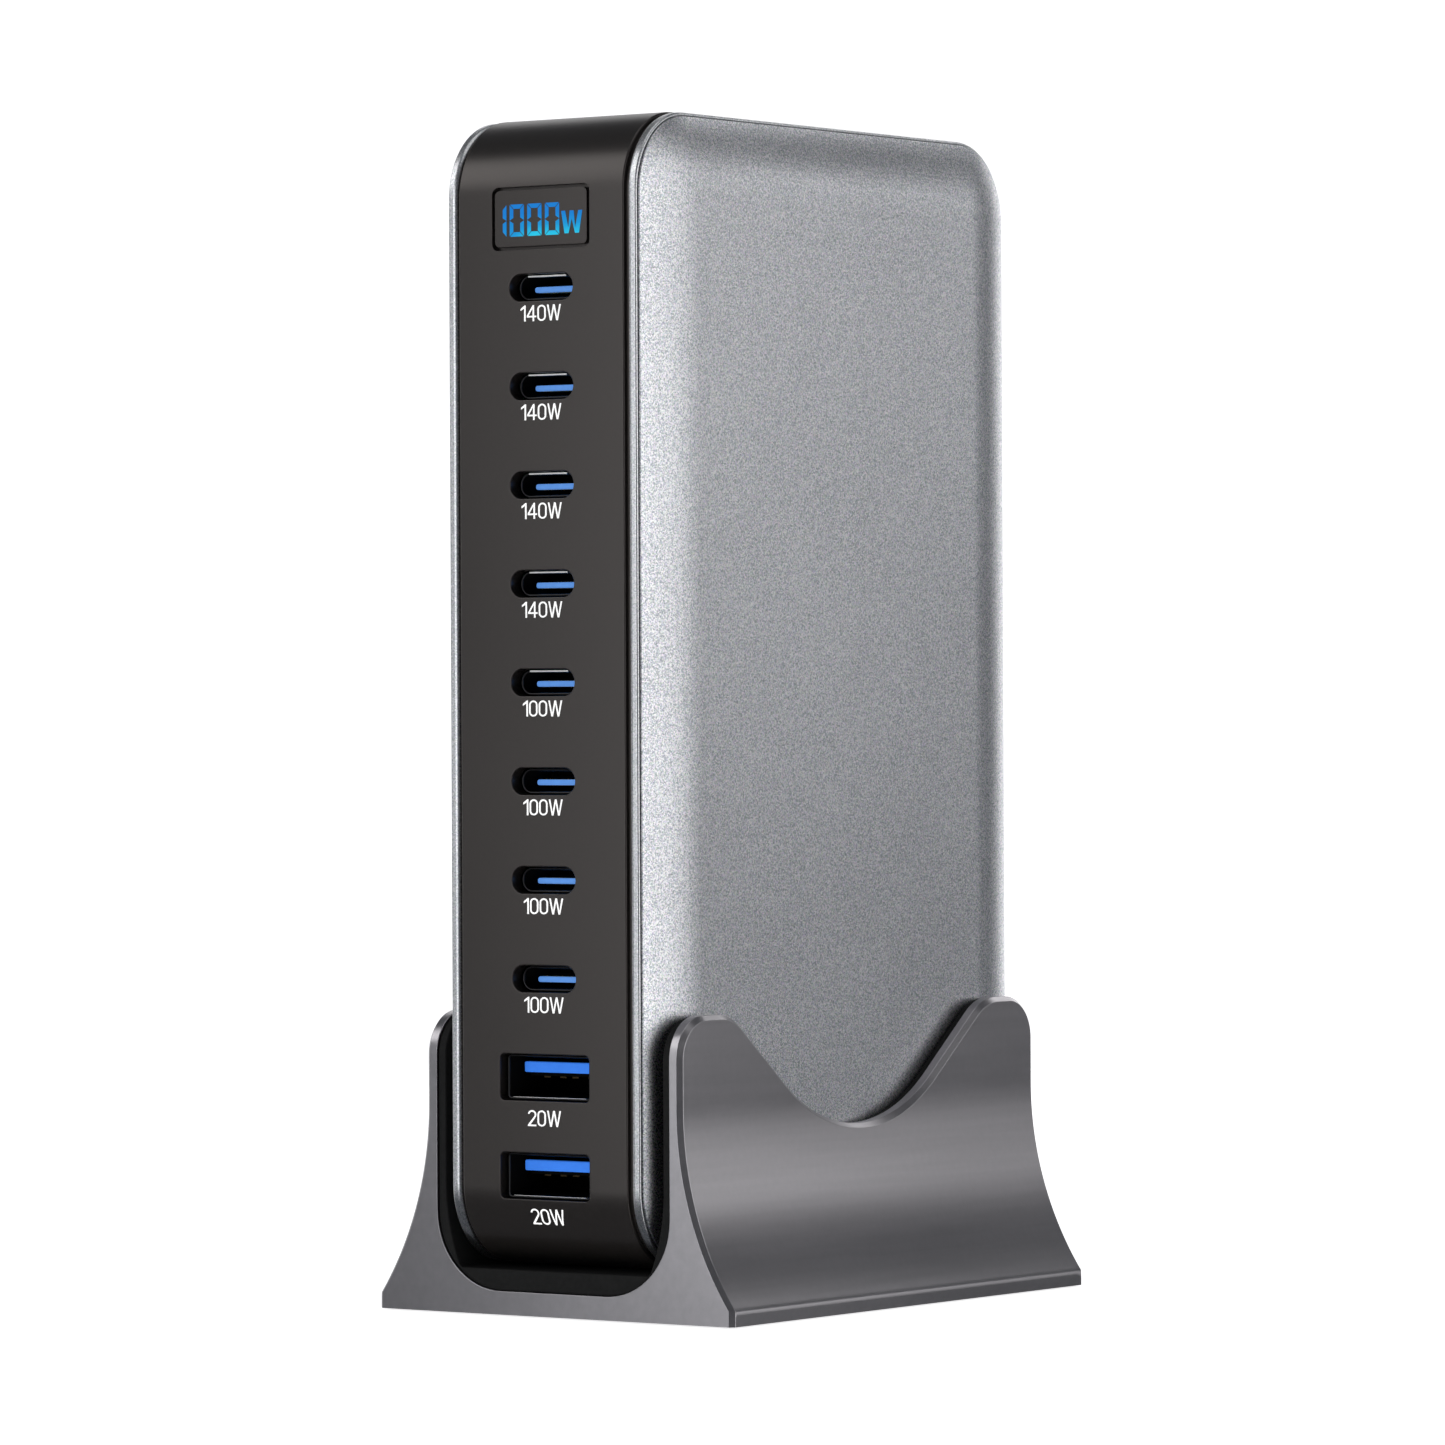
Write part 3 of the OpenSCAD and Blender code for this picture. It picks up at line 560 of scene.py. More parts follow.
def make_plate(side):
    """The bulged silver plate of one side."""
    rise, radius, tilt = bulge()
    start = BODY_W / 2 - rise - PLATE_R * 0.8
    a = np.linspace(tilt, 0, 22)[1:]
    dome = (np.stack([CORNER - radius * np.sin(a), BODY_W / 2 - radius + radius * np.cos(a)], 1),
            np.stack([np.sin(a), np.cos(a)], 1))
    b = wrap(chain(
        flat((CORNER, PLATE_X0), (PLATE_IN, PLATE_X0), (0, -1)),
        flat((PLATE_IN, PLATE_X0), (PLATE_IN, start), (1, 0)),
        turn_in(quarter((0, 0), PLATE_R, 0, 90 - math.degrees(tilt), 5), PLATE_IN + PLATE_R, start),
        dome,
    ))
    rect_cap(b, BODY_W / 2, 1)
    rect_cap(b, PLATE_X0, -1)
    name = side_name(side)
    return b.obj("side_plate_" + name, [M_SILVER], "charger", "plate_aluminium", ["plate_" + name],
                 flip_x=side < 0)


# ---------------------------------------------------------------- ports, drawn along Y
def along_y(b, outline, steps, cx=0.0, cz=0.0, mat=0):
    """Rings of an (x, z) outline. steps are (offset, y, outward normal, y normal)."""
    o, m = outline
    p, n = [], []
    for off, y, no, ny in steps:
        p.append(at_y(o + m * off + [cx, cz], y))
        n.append(at_y(m * no, ny))
    b.grid(p, n, close_b=True, mat=mat)


def plug_face(b, outline, off, y, ny, cx=0.0, cz=0.0, mat=0):
    """Flat end of a solid drawn with along_y."""
    b.ngon(at_y(outline[0] + outline[1] * off + [cx, cz], y), (0, ny, 0), mat)


def tube(outer_w, outer_h, r, wall, y0, y1, seg):
    """Sheet-metal shell with a rolled front lip."""
    b = Build()
    o = rounded(outer_w, outer_h, r, seg, 2)
    h = wall / 2
    lip = [(-h + h * math.cos(a), y0 + h - h * math.sin(a), math.cos(a), -math.sin(a))
           for a in np.radians([0, 30, 60, 90, 120, 150, 180])]
    along_y(b, o, [(0, y1, 1, 0), *lip])
    # the inner walls take the matt black of painted shade
    along_y(b, o, [(-wall, y0 + h, -1, 0), (-wall, y1, -1, 0)], mat=1)
    along_y(b, o, [(-wall, y1, 0, 1), (0, y1, 0, 1)])
    return b


def bar(b, outline, y0, y1, f, cx=0.0, cz=0.0, mat=0):
    """Solid from y0 to y1 with its front edge rounded by f."""
    a = np.radians([90, 60, 30, 0])
    steps = [(-f + f * math.cos(t), y0 + f - f * math.sin(t), math.cos(t), -math.sin(t)) for t in a]
    along_y(b, outline, [*steps, (0, y1, 1, 0)], cx, cz, mat)
    plug_face(b, outline, -f, y0, -1, cx, cz, mat)
    plug_face(b, outline, 0, y1, 1, cx, cz, mat)


def make_usb_c(i):
    """One USB-C socket: its shell, and its tongue with twelve contacts on each face."""
    front, back = -40.15, -32.85
    up = (0, 0, port_z(i))
    b = tube(9.0, 3.2, 1.6, 0.3, front, back, 10)
    # painted highlight: a bright steel bar on the top lip of the upper sockets only
    if i < 5:  # the upper sockets show a bright line along the top of the shell's mouth
        bar(b, rounded(6.1, 0.26, 0.1, 3), front - 0.1, front + 0.2, 0.05, cz=1.45, mat=2)
    b.obj(f"usb_c_shell_piece_{i + 1}", [M_SHADED_STEEL, M_PORT_SHADE, M_LIP_HIGHLIGHT], "charger", "port_steel",
          [f"usb_c_shell_{i + 1}"], move=up)
    t, low, pitch = Build(), -0.16, 0.5
    bar(t, rounded(6.69, 0.72, 0.3, 4), TONGUE_Y, -35.6, 0.12, cz=low)
    # painted shade: the tongue's root and back block are black, not the tongue's blue
    bar(t, rounded(6.29, 1.3, 0.15, 4), -35.65, -34.7, 0.1, mat=2)
    bar(t, rounded(8.36, 2.56, 1.25, 8), -34.75, back, 0.1, mat=2)
    contact = rounded(0.24, 0.04, 0.015, 1)
    for k in range(12):
        for face in (-0.37, 0.37):
            bar(t, contact, TONGUE_Y + 0.5, -35.7, 0.01, cx=pitch * (k - 5.5), cz=face + low, mat=1)
    t.obj(f"usb_c_tongue_piece_{i + 1}", [M_BLUE_C_GLOW, M_GOLD, M_PORT_SHADE], "charger", "light_blue_plastic",
          [f"usb_c_tongue_{i + 1}"], move=up)


def make_usb_a(i):
    """One USB-A socket. Only the front of its tongue is blue, as the rest is in shadow."""
    front, back, mouth = -40.6, -27.6, -37.7
    n, up = i - USB_A[0] + 1, (0, 0, port_z(i))
    b = tube(13.14, 5.72, 0.6, 0.3, front, back, 6)
    # painted highlight: a bright steel bar along the bottom lip of each USB-A shell
    bar(b, rounded(11.6, 0.2, 0.08, 3), front + 0.1, front + 0.4, 0.07, cz=-2.62, mat=2)
    b.obj(f"usb_a_shell_piece_{n}", [M_SHADED_STEEL, M_PORT_SHADE, M_LIP_HIGHLIGHT], "charger", "port_steel",
          [f"usb_a_shell_{n}"], move=up)
    t, high = Build(), 1.17
    bar(t, rounded(11.1, 1.34, 0.2, 4), TONGUE_Y, mouth, 0.12, cz=high)
    # painted shade: behind the mouth the tongue, the plastic under it and the back block are black
    bar(t, rounded(11.0, 1.24, 0.2, 4), mouth, -28.9, 0.05, cz=high, mat=1)
    bar(t, rounded(11.1, 0.56, 0.1, 3), -37.1, -28.9, 0.1, cz=0.28, mat=1)
    bar(t, rounded(12.5, 5.08, 0.3, 4), -29.0, back, 0.1, mat=1)
    t.obj(f"usb_a_tongue_piece_{n}", [M_BLUE_A_GLOW, M_PORT_SHADE], "charger", "blue_plastic",
          [f"usb_a_tongue_{n}"], move=up)


# ---------------------------------------------------------------- display
def prism(b, poly, y0, y1):
    """Straight prism of an (x, z) polygon."""
    poly = np.asarray(poly, float)
    v, t = region(poly)
    for y, n in ((y0, -1), (y1, 1)):
        b.tris(at_y(v, y), (0, n, 0), t)
    nxt = np.roll(poly, -1, 0)
    area = (poly[:, 0] * nxt[:, 1] - nxt[:, 0] * poly[:, 1]).sum()
    for p, q in zip(poly, nxt):
        d = (q - p) * (1 if area > 0 else -1)
        quad = [(p[0], y0, p[1]), (q[0], y0, q[1]), (q[0], y1, q[1]), (p[0], y1, p[1])]
        b.ngon(quad, (d[1], 0, -d[0]))


def segment_shapes(w, h, t, g):
    """The six outer bars of a digit w by h, stroke t, gap g: top, right pair, bottom, left pair."""
    m = h / 2
    return [
        [(g, h), (w - g, h), (w - t - g, h - t), (t + g, h - t)],
        [(w, h - g), (w, m + g / 2), (w - t, m + t / 2 + g), (w - t, h - t - g)],
        [(w, g), (w, m - g / 2), (w - t, m - t / 2 - g), (w - t, t + g)],
        [(g, 0), (w - g, 0), (w - t - g, t), (t + g, t)],
        [(0, g), (0, m - g / 2), (t, m - t / 2 - g), (t, t + g)],
        [(0, h - g), (0, m + g / 2), (t, m + t / 2 + g), (t, h - t - g)],
    ]


def digit_material():
    """Lit segments that go from blue at the top to cyan at the foot of the middle digits."""
    sh = Shader("digit_glow")
    split = sh.nodes.new("ShaderNodeSeparateXYZ")
    sh.link(sh.coord, split.inputs[0])
    down = sh.ramp(split.outputs["Z"], 1.0, 0.0, 0.1371, 0.1400)
    across = sh.ramp(split.outputs["X"], 0.25, 1.0, -0.0060, -0.0016)
    grain = sh.nodes.new("ShaderNodeMath")
    grain.operation = "MULTIPLY_ADD"
    grain.inputs[1].default_value = 0.3
    grain.inputs[2].default_value = -0.15
    sh.link(sh.noise(700.0).outputs[0], grain.inputs[0])
    total = sh.nodes.new("ShaderNodeMath")
    sh.link(sh.times(down, across).outputs[0], total.inputs[0])
    sh.link(grain.outputs[0], total.inputs[1])
    blend = sh.nodes.new("ShaderNodeValToRGB")
    stops = blend.color_ramp.elements
    stops[0].position, stops[0].color = 0.0, (0.006, 0.19, 0.62, 1)
    stops[1].position, stops[1].color = 1.0, (0.02, 0.60, 0.82, 1)
    stops.new(0.5).color = (0.008, 0.29, 0.66, 1)
    sh.link(total.outputs[0], blend.inputs[0])
    sh.bsdf.inputs["Base Color"].default_value = (0.01, 0.04, 0.08, 1)
    sh.bsdf.inputs["Specular IOR Level"].default_value = 0.05
    sh.bsdf.inputs["Roughness"].default_value = 0.3
    sh.glow(blend.outputs[0], 0.93)
    return sh.mt


def make_display():
    """The smoked window, and the lit figures 1000W on it."""
    b = Build()
    bar(b, rounded(14.56, 7.16, 0.7, 8, 4), -41.55, -40.6, 0.06, cz=DISP_Z)
    b.obj("display_window_piece", [M_WINDOW], "charger", "window_gloss", ["display_window"])
    d, y0, y1 = Build(), -FACE_Y, -41.5
    w, h, stroke, gap, step = 2.24, 4.08, 0.56, 0.08, 2.8
    z0 = DISP_Z - 0.25 - h / 2
    segs = segment_shapes(w, h, stroke, gap)
    for k in (1, 2):
        prism(d, np.array(segs[k]) + [-5.97 - w + stroke, z0], y0, y1)
    for n in range(3):
        for s in segs:
            prism(d, np.array(s) + [-4.87 + step * n, z0], y0, y1)
    # the W: five points across, at k, 2k and 3k, with a stroke wt wide
    ww, wh, wt = 3.3, 2.85, 0.6
    k, e = ww / 4, wt / 2
    letter = [(0, wh), (wt, wh), (k + e, wt), (2 * k - e, wh), (2 * k + e, wh), (3 * k - e, wt),
              (ww - wt, wh), (ww, wh), (3 * k + e, 0), (3 * k - e, 0), (2 * k, wh - 1.6 * wt), (k + e, 0),
              (k - e, 0)]
    prism(d, np.array(letter) + [3.3, z0 + 0.1], y0, y1)
    d.obj("display_digits_piece", [digit_material()], "charger", "digit_light", ["display_digits"])


GLYPHS = {
    "1": ([(0.23, 0), (0.335, 0), (0.335, 1), (0.26, 1), (0, 0.79), (0, 0.67), (0.23, 0.82)], []),
    "4": ([(0.38, 0), (0.485, 0), (0.485, 0.24), (0.62, 0.24), (0.62, 0.34), (0.485, 0.34), (0.485, 1),
           (0.39, 1), (0, 0.35), (0, 0.24), (0.38, 0.24)], [[(0.11, 0.34), (0.38, 0.34), (0.38, 0.8)]]),
    "W": ([(0, 1), (0.105, 1), (0.25, 0.2), (0.405, 1), (0.515, 1), (0.67, 0.2), (0.815, 1), (0.92, 1),
           (0.72, 0), (0.61, 0), (0.46, 0.78), (0.31, 0), (0.2, 0)], []),
}


def glyph(ch):
    """Outline and holes of one printed character, 1 high."""
    if ch == "0":
        return rounded(0.56, 1.0, 0.279, 9)[0] + [0.28, 0.5], [rounded(0.35, 0.8, 0.174, 9)[0] + [0.28, 0.5]]
    if ch == "2":
        arc = unit(np.radians(np.linspace(170, -35, 22)))
        foot = [(0.17, 0.1), (0.56, 0.1), (0.56, 0), (0, 0), (0, 0.08)]
        return np.concatenate([[0.28, 0.72] + 0.28 * arc, foot, [0.28, 0.72] + 0.175 * arc[::-1]]), []
    outer, holes = GLYPHS[ch]
    return np.array(outer), [np.array(h) for h in holes]


def text_mesh(text, wide, tall, space=0.075):
    """A thin flat prism of the text, from x = 0 and centred on y = 0, and its length, in mm."""
    verts, faces, x0 = [], [], 0.0
    for ch in text:
        outer, holes = glyph(ch)
        v, t = region(outer, holes)
        n, base = len(v), len(verts)
        for z in (1, -1):
            verts += [((x0 + p[0]) * wide, (p[1] - 0.5) * tall, z * SKIN / 2) for p in v]
        for f in t:
            f = [base + int(k) for k in f]
            faces += [f, [k + n for k in f[::-1]]]
        spot = {tuple(np.round(p, 5)): k for k, p in enumerate(v)}
        for loop in (outer, *holes):
            ring = [base + spot[tuple(np.round(p, 5))] for p in loop]
            faces += [[a, b, b + n, a + n] for a, b in zip(ring, ring[1:] + ring[:1])]
        x0 += outer[:, 0].max() + space
    bm = bmesh.new()
    made_v = [bm.verts.new(v) for v in verts]
    for f in faces:
        bm.faces.new([made_v[k] for k in f])
    return bm, (x0 - space) * wide


def make_label(i):
    """Printed wattage under port i, cut into strips and laid on the wall so that it follows the curve."""
    bm, length = text_mesh("140W" if i < 4 else "100W" if i in USB_C else "20W", 2.4, 2.03)
    for k in range(-4, 5):
        bmesh.ops.bisect_plane(bm, geom=[*bm.verts, *bm.edges, *bm.faces], plane_co=(0, 0.25 * k, 0),
                               plane_no=(0, 1, 0))
    bmesh.ops.recalc_face_normals(bm, faces=bm.faces)
    centre = port_z(i) - (3.28 if i in USB_C else 5.12)
    for v in bm.verts:
        x, z = v.co.x - length / 2, centre + v.co.y
        v.co = Vector((x, -float(wall_y(SKIN / 2, z)) - v.co.z, z)) * MM
    mesh = bpy.data.meshes.new(f"port_label_{i + 1}")
    bm.to_mesh(mesh)
    bm.free()
    mesh.materials.append(M_LABEL_GLOW)
    ob = linked(mesh.name, mesh)
    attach(ob, "charger")


# ---------------------------------------------------------------- mains inlet on the back
def eight(seg=20):
    """Outline of the figure-8 socket and its normals: two arcs of radius r about x = c and x = -c."""
    r, c, half = 3.85, 3.0, 3.5
    end = math.asin(half / r)
    pts, nrm = [], []
    for s, lo, hi in ((1, -end, end), (-1, math.pi - end, math.pi + end)):
        for k in range(seg + 1):
            a = lo + (hi - lo) * k / seg
            pts.append((s * c + r * math.cos(a), r * math.sin(a)))
            nrm.append((math.cos(a), math.sin(a)))
    return np.array(pts), np.array(nrm)


def make_inlet():
    """The mains inlet on the back: a housing with a figure-8 socket, a flange inside the wall, two pins."""
    b = Build()
    face, floor, rear, ease = 41.4, 29.9, 24.9, 0.25
    body, socket = rounded(18.0, 11.0, 1.5, 8, 2), eight()
    for shape, sign, y, facing in ((body, 1, rear, -1), (socket, -1, floor, 1)):
        steps = [(sign * ease * (math.cos(t) - 1), face - ease + ease * math.sin(t), sign * math.cos(t),
                  math.sin(t)) for t in np.radians([90, 60, 30, 0])]
        along_y(b, shape, [*steps, (0, y, sign, 0)], cz=INLET_Z)
        plug_face(b, shape, 0, y, facing, cz=INLET_Z)
    v, t = region(body[0] - body[1] * ease, [socket[0] + socket[1] * ease])
    b.tris(at_y(v + [0, INLET_Z], face), (0, 1, 0), t)
    bar(b, rounded(21.6, 14.6, 1.0, 6, 2), 38.3, 39.6, 0.2, cz=INLET_Z)
    b.obj("inlet_housing_piece", [M_INLET], "charger", "inlet_plastic", ["inlet_housing"])
    p, r, pin_rear, pin_tip = Build(), 1.18, 23.4, 39.9
    ring = rounded(2 * r, 2 * r, r - 0.001, 8)
    for x in (-4.3, 4.3):
        dome = [(-r + r * math.cos(t), pin_tip - 1.0 + math.sin(t), math.cos(t), math.sin(t))
                for t in np.radians([75, 55, 35, 15, 0])]
        along_y(p, ring, [*dome, (0, pin_rear, 1, 0)], cx=x, cz=INLET_Z)
        plug_face(p, ring, dome[0][0], dome[0][1], 1, cx=x, cz=INLET_Z)
        plug_face(p, ring, 0, pin_rear, -1, cx=x, cz=INLET_Z)
    p.obj("inlet_pins_piece", [M_PIN], "charger", "screw_steel", ["inlet_pins"])


# ---------------------------------------------------------------- cradle stand
def flare_x(z):
    """Half width of the stand's outside at height z, with the normal's (x, z)."""
    z = np.asarray(z, float)
    dz = np.clip(FLARE_Z - z, 0, None)
    x = WALL_HW + FLARE_R - np.sqrt(FLARE_R ** 2 - dz ** 2)
    s = dz / FLARE_R
    # the lowest 1.6 mm is upright, and the normal turns upright over the 0.9 mm above it
    lip = np.clip((z - 1.6) / 0.9, 0, 1)
    s = s * lip * lip * (3 - 2 * lip)
    return np.minimum(x, BASE_HW), np.sqrt(1 - s ** 2), s


def upright(half):
    """A flat vertical wall at x = half, described the way flare_x describes the flare."""
    return lambda z: (np.full(np.shape(z), half), np.ones(np.shape(z)), np.zeros(np.shape(z)))


def saddle(z_from, step=1.0):
    """The stand's side outline from z_from at the front, over both ears, down to z_from at the back.

    (ay, az) is where the saddle's arc ends and the straight slope starts, (by, bz) is where the slope
    meets the ear, and ey is where the ear's top goes flat.
    """
    ay, az = SADDLE_R * math.sin(SLOPE), SADDLE_Z + SADDLE_R * (1 - math.cos(SLOPE))
    bz = EAR_Z - EAR_IN * (1 - math.cos(SLOPE))
    by = ay + (bz - az) / math.tan(SLOPE)
    ey = by + EAR_IN * math.sin(SLOPE)
    half = [((STAND_HD, z), (1, 0)) for z in np.arange(z_from, EAR_Z - EAR_OUT - 0.2, step)]
    for a in np.radians(np.linspace(0, 90, 17)):
        c, s = math.cos(a), math.sin(a)
        half.append(((STAND_HD - EAR_OUT + EAR_OUT * c, EAR_Z - EAR_OUT + EAR_OUT * s), (c, s)))
    half.append((((STAND_HD - EAR_OUT + ey) / 2, EAR_Z), (0, 1)))
    for a in np.linspace(0, SLOPE, 13):
        c, s = math.cos(a), math.sin(a)
        half.append(((ey - EAR_IN * s, EAR_Z - EAR_IN * (1 - c)), (-s, c)))
    for t in np.arange(1, 8) / 8:
        half.append(((by + (ay - by) * t, bz + (az - bz) * t), (-math.sin(SLOPE), math.cos(SLOPE))))
    for a in np.linspace(SLOPE, 0, 19):
        c, s = math.cos(a), math.sin(a)
        half.append(((SADDLE_R * s, SADDLE_Z + SADDLE_R * (1 - c)), (-s, c)))
    p = np.array([q[0] for q in half])
    n = np.array([q[1] for q in half])
    p = np.concatenate([p * [-1, 1], p[::-1][1:]])
    n = np.concatenate([n * [-1, 1], n[::-1][1:]])
    return p, n


def chamfer_steps(c, r):
    """(inset along the face, drop from the surface, angle) across a flat chamfer with both edges eased."""
    k = r * math.tan(math.pi / 8)
    # arc one joins the side (angle 0) to the chamfer, arc two joins the chamfer to the top (angle 90)
    low, high = np.radians(np.linspace(0, 45, 5)), np.radians(np.linspace(45, 90, 5))
    return [(r - r * math.cos(a), c + k - r * math.sin(a), a) for a in low] \
        + [(c + k - r * math.cos(a), r - r * math.sin(a), a) for a in high]


def round_steps(r, n=6):
    """The same across a plain rounded edge."""
    return [(r - r * math.cos(a), r - r * math.sin(a), a) for a in np.radians(np.linspace(0, 90, n))]


def side_sheet(b, path, steps, surface, z_floor, inward=False):
    """One face of an upright wall inside the side outline: edge rings, then the face itself.

    surface(z) gives the half width and the (x, z) normal. steps are from chamfer_steps or round_steps.
    Returns the first edge ring.
    """
    p, n = path
    sgn = -1.0 if inward else 1.0
    rows, norms = [], []
    for inset, drop, a in steps:
        q = p - n * inset
        q[0, 1] = q[-1, 1] = z_floor
        x, nx, nz = surface(q[:, 1])
        rows.append(np.stack([x - sgn * drop, q[:, 0], q[:, 1]], 1))
        ca, sa = math.cos(a), math.sin(a)
        norms.append(np.stack([sgn * nx * sa, n[:, 0] * ca, n[:, 1] * ca + sgn * nz * sa], 1))
    b.grid(rows, norms)
    inner = rows[-1][:, 1:]
    ys = np.arange(-STAND_HD + 1, STAND_HD, 2.5)
    zs = np.concatenate([np.arange(z_floor + 0.35, 3.4, 0.35), np.arange(3.6, EAR_Z, 1.0)])
    extra = np.array([(y, z) for y in ys for z in zs])
    v, t = region(inner, (), extra, 0.3)
    x, nx, nz = surface(v[:, 1])
    b.tris(np.stack([x, v[:, 0], v[:, 1]], 1), np.stack([sgn * nx, nx * 0, sgn * nz], 1), t)
    return rows[0]


def pocket_path(hw, z0, r, seg=16):
    """Half of the pocket's section, from the top of its corner to the middle of its floor, with normals."""
    d = unit(np.radians(np.linspace(0, -90, seg + 1)))
    p = np.array([hw - r, z0 + r]) + r * d
    return np.concatenate([p, [[0, z0]]]), np.concatenate([d, [[0, -1]]])


def upper_path(path, z):
    """The part of a side outline above z, with its ends brought down to z, and the mask of that part."""
    up = path[0][:, 1] >= z - 1e-6
    p = np.concatenate([[[-STAND_HD, z]], path[0][up], [[STAND_HD, z]]])
    return p, np.concatenate([[[-1, 0]], path[1][up], [[1, 0]]]), up


def lengthwise(b, p, n, steps, half, sign, top=None):
    """Carries an (x, z) section from front to back, with both ends rounded. Returns the rows of points.

    sign is 1 where the section's normals point out of the solid, -1 where they point into it. top holds the
    section's first point at that height, and its last point in the middle.
    """
    rows, norms = [], []
    for sy in (-1, 1):
        for inset, d, a in (steps if sy < 0 else steps[::-1]):
            q = p - n * d * sign
            if top is not None:
                q[0, 1], q[-1, 0] = top, 0
            rows.append(at_y(q, sy * (half - inset)))
            norms.append(at_y(sign * n * math.sin(a), sy * math.cos(a)))
    b.grid(rows, norms)
    return rows


def end_faces(b, loop, half):
    """The flat front and back ends of a section."""
    v, t = region(loop)
    for sy in (-1, 1):
        b.tris(at_y(v, sy * half), (0, sy, 0), t)


def make_stand():
    """The cradle: one half of it is built, then mirrored."""
    b = Build()
    ztop = POCKET_Z + POCKET_R
    outer_steps, inner_steps = chamfer_steps(STAND_CHAMFER, STAND_EASE), round_steps(POCKET_EDGE)
    drop = outer_steps[0][1]
    path = saddle(FOOT_OUT)
    edge_out = side_sheet(b, path, outer_steps, flare_x, FOOT_OUT)
    pin, nin, up = upper_path(path, ztop)
    edge_in = side_sheet(b, (pin, nin), inner_steps, upright(POCKET_HW), ztop, inward=True)
    # the narrow top face between the two rounded edges
    x_top = flare_x(np.array([ztop]))[0][0] - drop
    eo = np.concatenate([[[x_top, -STAND_HD, ztop]], edge_out[up], [[x_top, STAND_HD, ztop]]])
    nn = np.insert(nin, 0, 0, axis=1)
    b.grid([eo, edge_in], [nn, nn])
    pp, pn = pocket_path(POCKET_HW, POCKET_Z, POCKET_R)
    lengthwise(b, pp, pn, inner_steps, STAND_HD, -1)
    # front and back faces under the pocket and beside its corner
    zo = np.concatenate([path[0][:int(np.argmax(up)), 1], [ztop]])
    edge = np.stack([flare_x(zo)[0] - drop, zo], 1)
    end_faces(b, np.concatenate([edge, pp + pn * POCKET_EDGE, [[0, FOOT_OUT]]]), STAND_HD)
    # underside
    xb = float(flare_x(np.array([FOOT_OUT]))[0][0])
    corner = [(xb - d, STAND_HD - i) for i, d, _ in outer_steps]
    under = [(0, -STAND_HD), *[(x, -y) for x, y in corner], *corner[::-1], (0, STAND_HD)]
    b.ngon([(x, y, FOOT_OUT) for x, y in under], (0, 0, -1))
    b.mirrored()
    return b.obj("cradle", [M_STAND], "stand", "stand_plastic", ["stand"])


def liner_inner():
    """Half of the liner's inner section, which follows the plate's bulge at a gap, with (x, z) normals."""
    _, radius, _ = bulge()
    r, zb, xr = radius + LINER_GAP, BODY_Z - LINER_GAP, RIM_X + LINER_GAP
    cx = BODY_W / 2 - radius
    d = unit(np.linspace(0, -math.acos((xr - cx) / r), 16))
    p = np.array([cx, BODY_Z + CORNER]) + r * d
    p = np.concatenate([p, [[xr, zb + 0.3]], [[xr - 0.3, zb]], [[0, zb]]])
    return p, np.concatenate([d, [[0.92, -0.39]], [[0.39, -0.92]], [[0, -1]]])


def make_liner():
    """The rubber liner of the pocket, a little inside the stand's faces."""
    b = Build()
    hd, zt = STAND_HD - LINER_BACK, BODY_Z + CORNER
    p, n, _ = upper_path(saddle(FOOT_OUT), zt)
    p = p - n * LINER_BACK
    p[0, 1] = p[-1, 1] = zt
    xo, steps = POCKET_HW - CLEAR, round_steps(LINER_R, 4)
    ei = side_sheet(b, (p, n), steps, upright(BODY_W / 2 + LINER_GAP), zt, inward=True)
    eo = side_sheet(b, (p, n), steps, upright(xo), zt)
    nn = np.insert(n, 0, 0, axis=1)
    b.grid([ei, eo], [nn, nn])
    op, om = pocket_path(xo, POCKET_Z + CLEAR, POCKET_R - CLEAR, seg=17)
    op, om = np.concatenate([[[xo, zt]], op]), np.concatenate([[[1, 0]], om])
    loops = [lengthwise(b, q, m, steps, hd, sign, top=zt)[0][:, [0, 2]]
             for q, m, sign in ((*liner_inner(), -1), (op, om, 1))]
    end_faces(b, np.concatenate([loops[0], loops[1][::-1]]), hd)
    b.mirrored()
    return b.obj("cradle_liner", [M_LINER], "stand", "black_rubber", ["stand_liner"])


make_band()
for s in (-1, 1):
    make_cover(s)
    make_plate(s)
for i in USB_C:
    make_usb_c(i)
for i in USB_A:
    make_usb_a(i)
make_display()
for i in [*USB_C, *USB_A]:
    make_label(i)
make_inlet()
make_stand()
make_liner()

# ---------------------------------------------------------------- CAD nodes that stay
# a word of the node's name: material, colour, metallic, roughness
KEPT = {
    "foot": ("foot_rubber", (0.02, 0.02, 0.02), 0.0, 0.7),
    "usb_a_contacts": ("contact_brass", (0.09, 0.065, 0.035), 1.0, 0.5),
    "display_module": ("module_resin", (0.03, 0.03, 0.03), 0.0, 0.6),
    "bridge": ("bridge_resin", (0.03, 0.03, 0.03), 0.0, 0.6),
    "board": ("board_green", (0.02, 0.16, 0.07), 0.0, 0.4),
    "screws": ("screw_steel", (0.6, 0.6, 0.6), 1.0, 0.3),
    "fuse": ("fuse_ceramic", (0.85, 0.85, 0.82), 0.0, 0.35),
    "emi_choke": ("choke_copper", (0.5, 0.25, 0.12), 0.8, 0.35),
    "x_capacitor": ("capacitor_yellow", (0.75, 0.6, 0.15), 0.0, 0.3),
    "capacitors": ("capacitor_sleeve", (0.02, 0.03, 0.12), 0.0, 0.3),
    "transformer": ("transformer_ferrite", (0.08, 0.075, 0.07), 0.0, 0.6),
    "heat_spreader": ("spreader_aluminium", (0.7, 0.7, 0.72), 1.0, 0.4),
}
made = {}
for name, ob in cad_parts.items():
    if ob.hide_render:
        continue
    for word, (mname, colour, metal, rough) in KEPT.items():
        if word in name:
            if mname not in made:
                made[mname] = material(mname, colour, metallic=metal, rough=rough, grain=(1200, 0.12))
            ob.data.materials.clear()
            ob.data.materials.append(made[mname])
            break

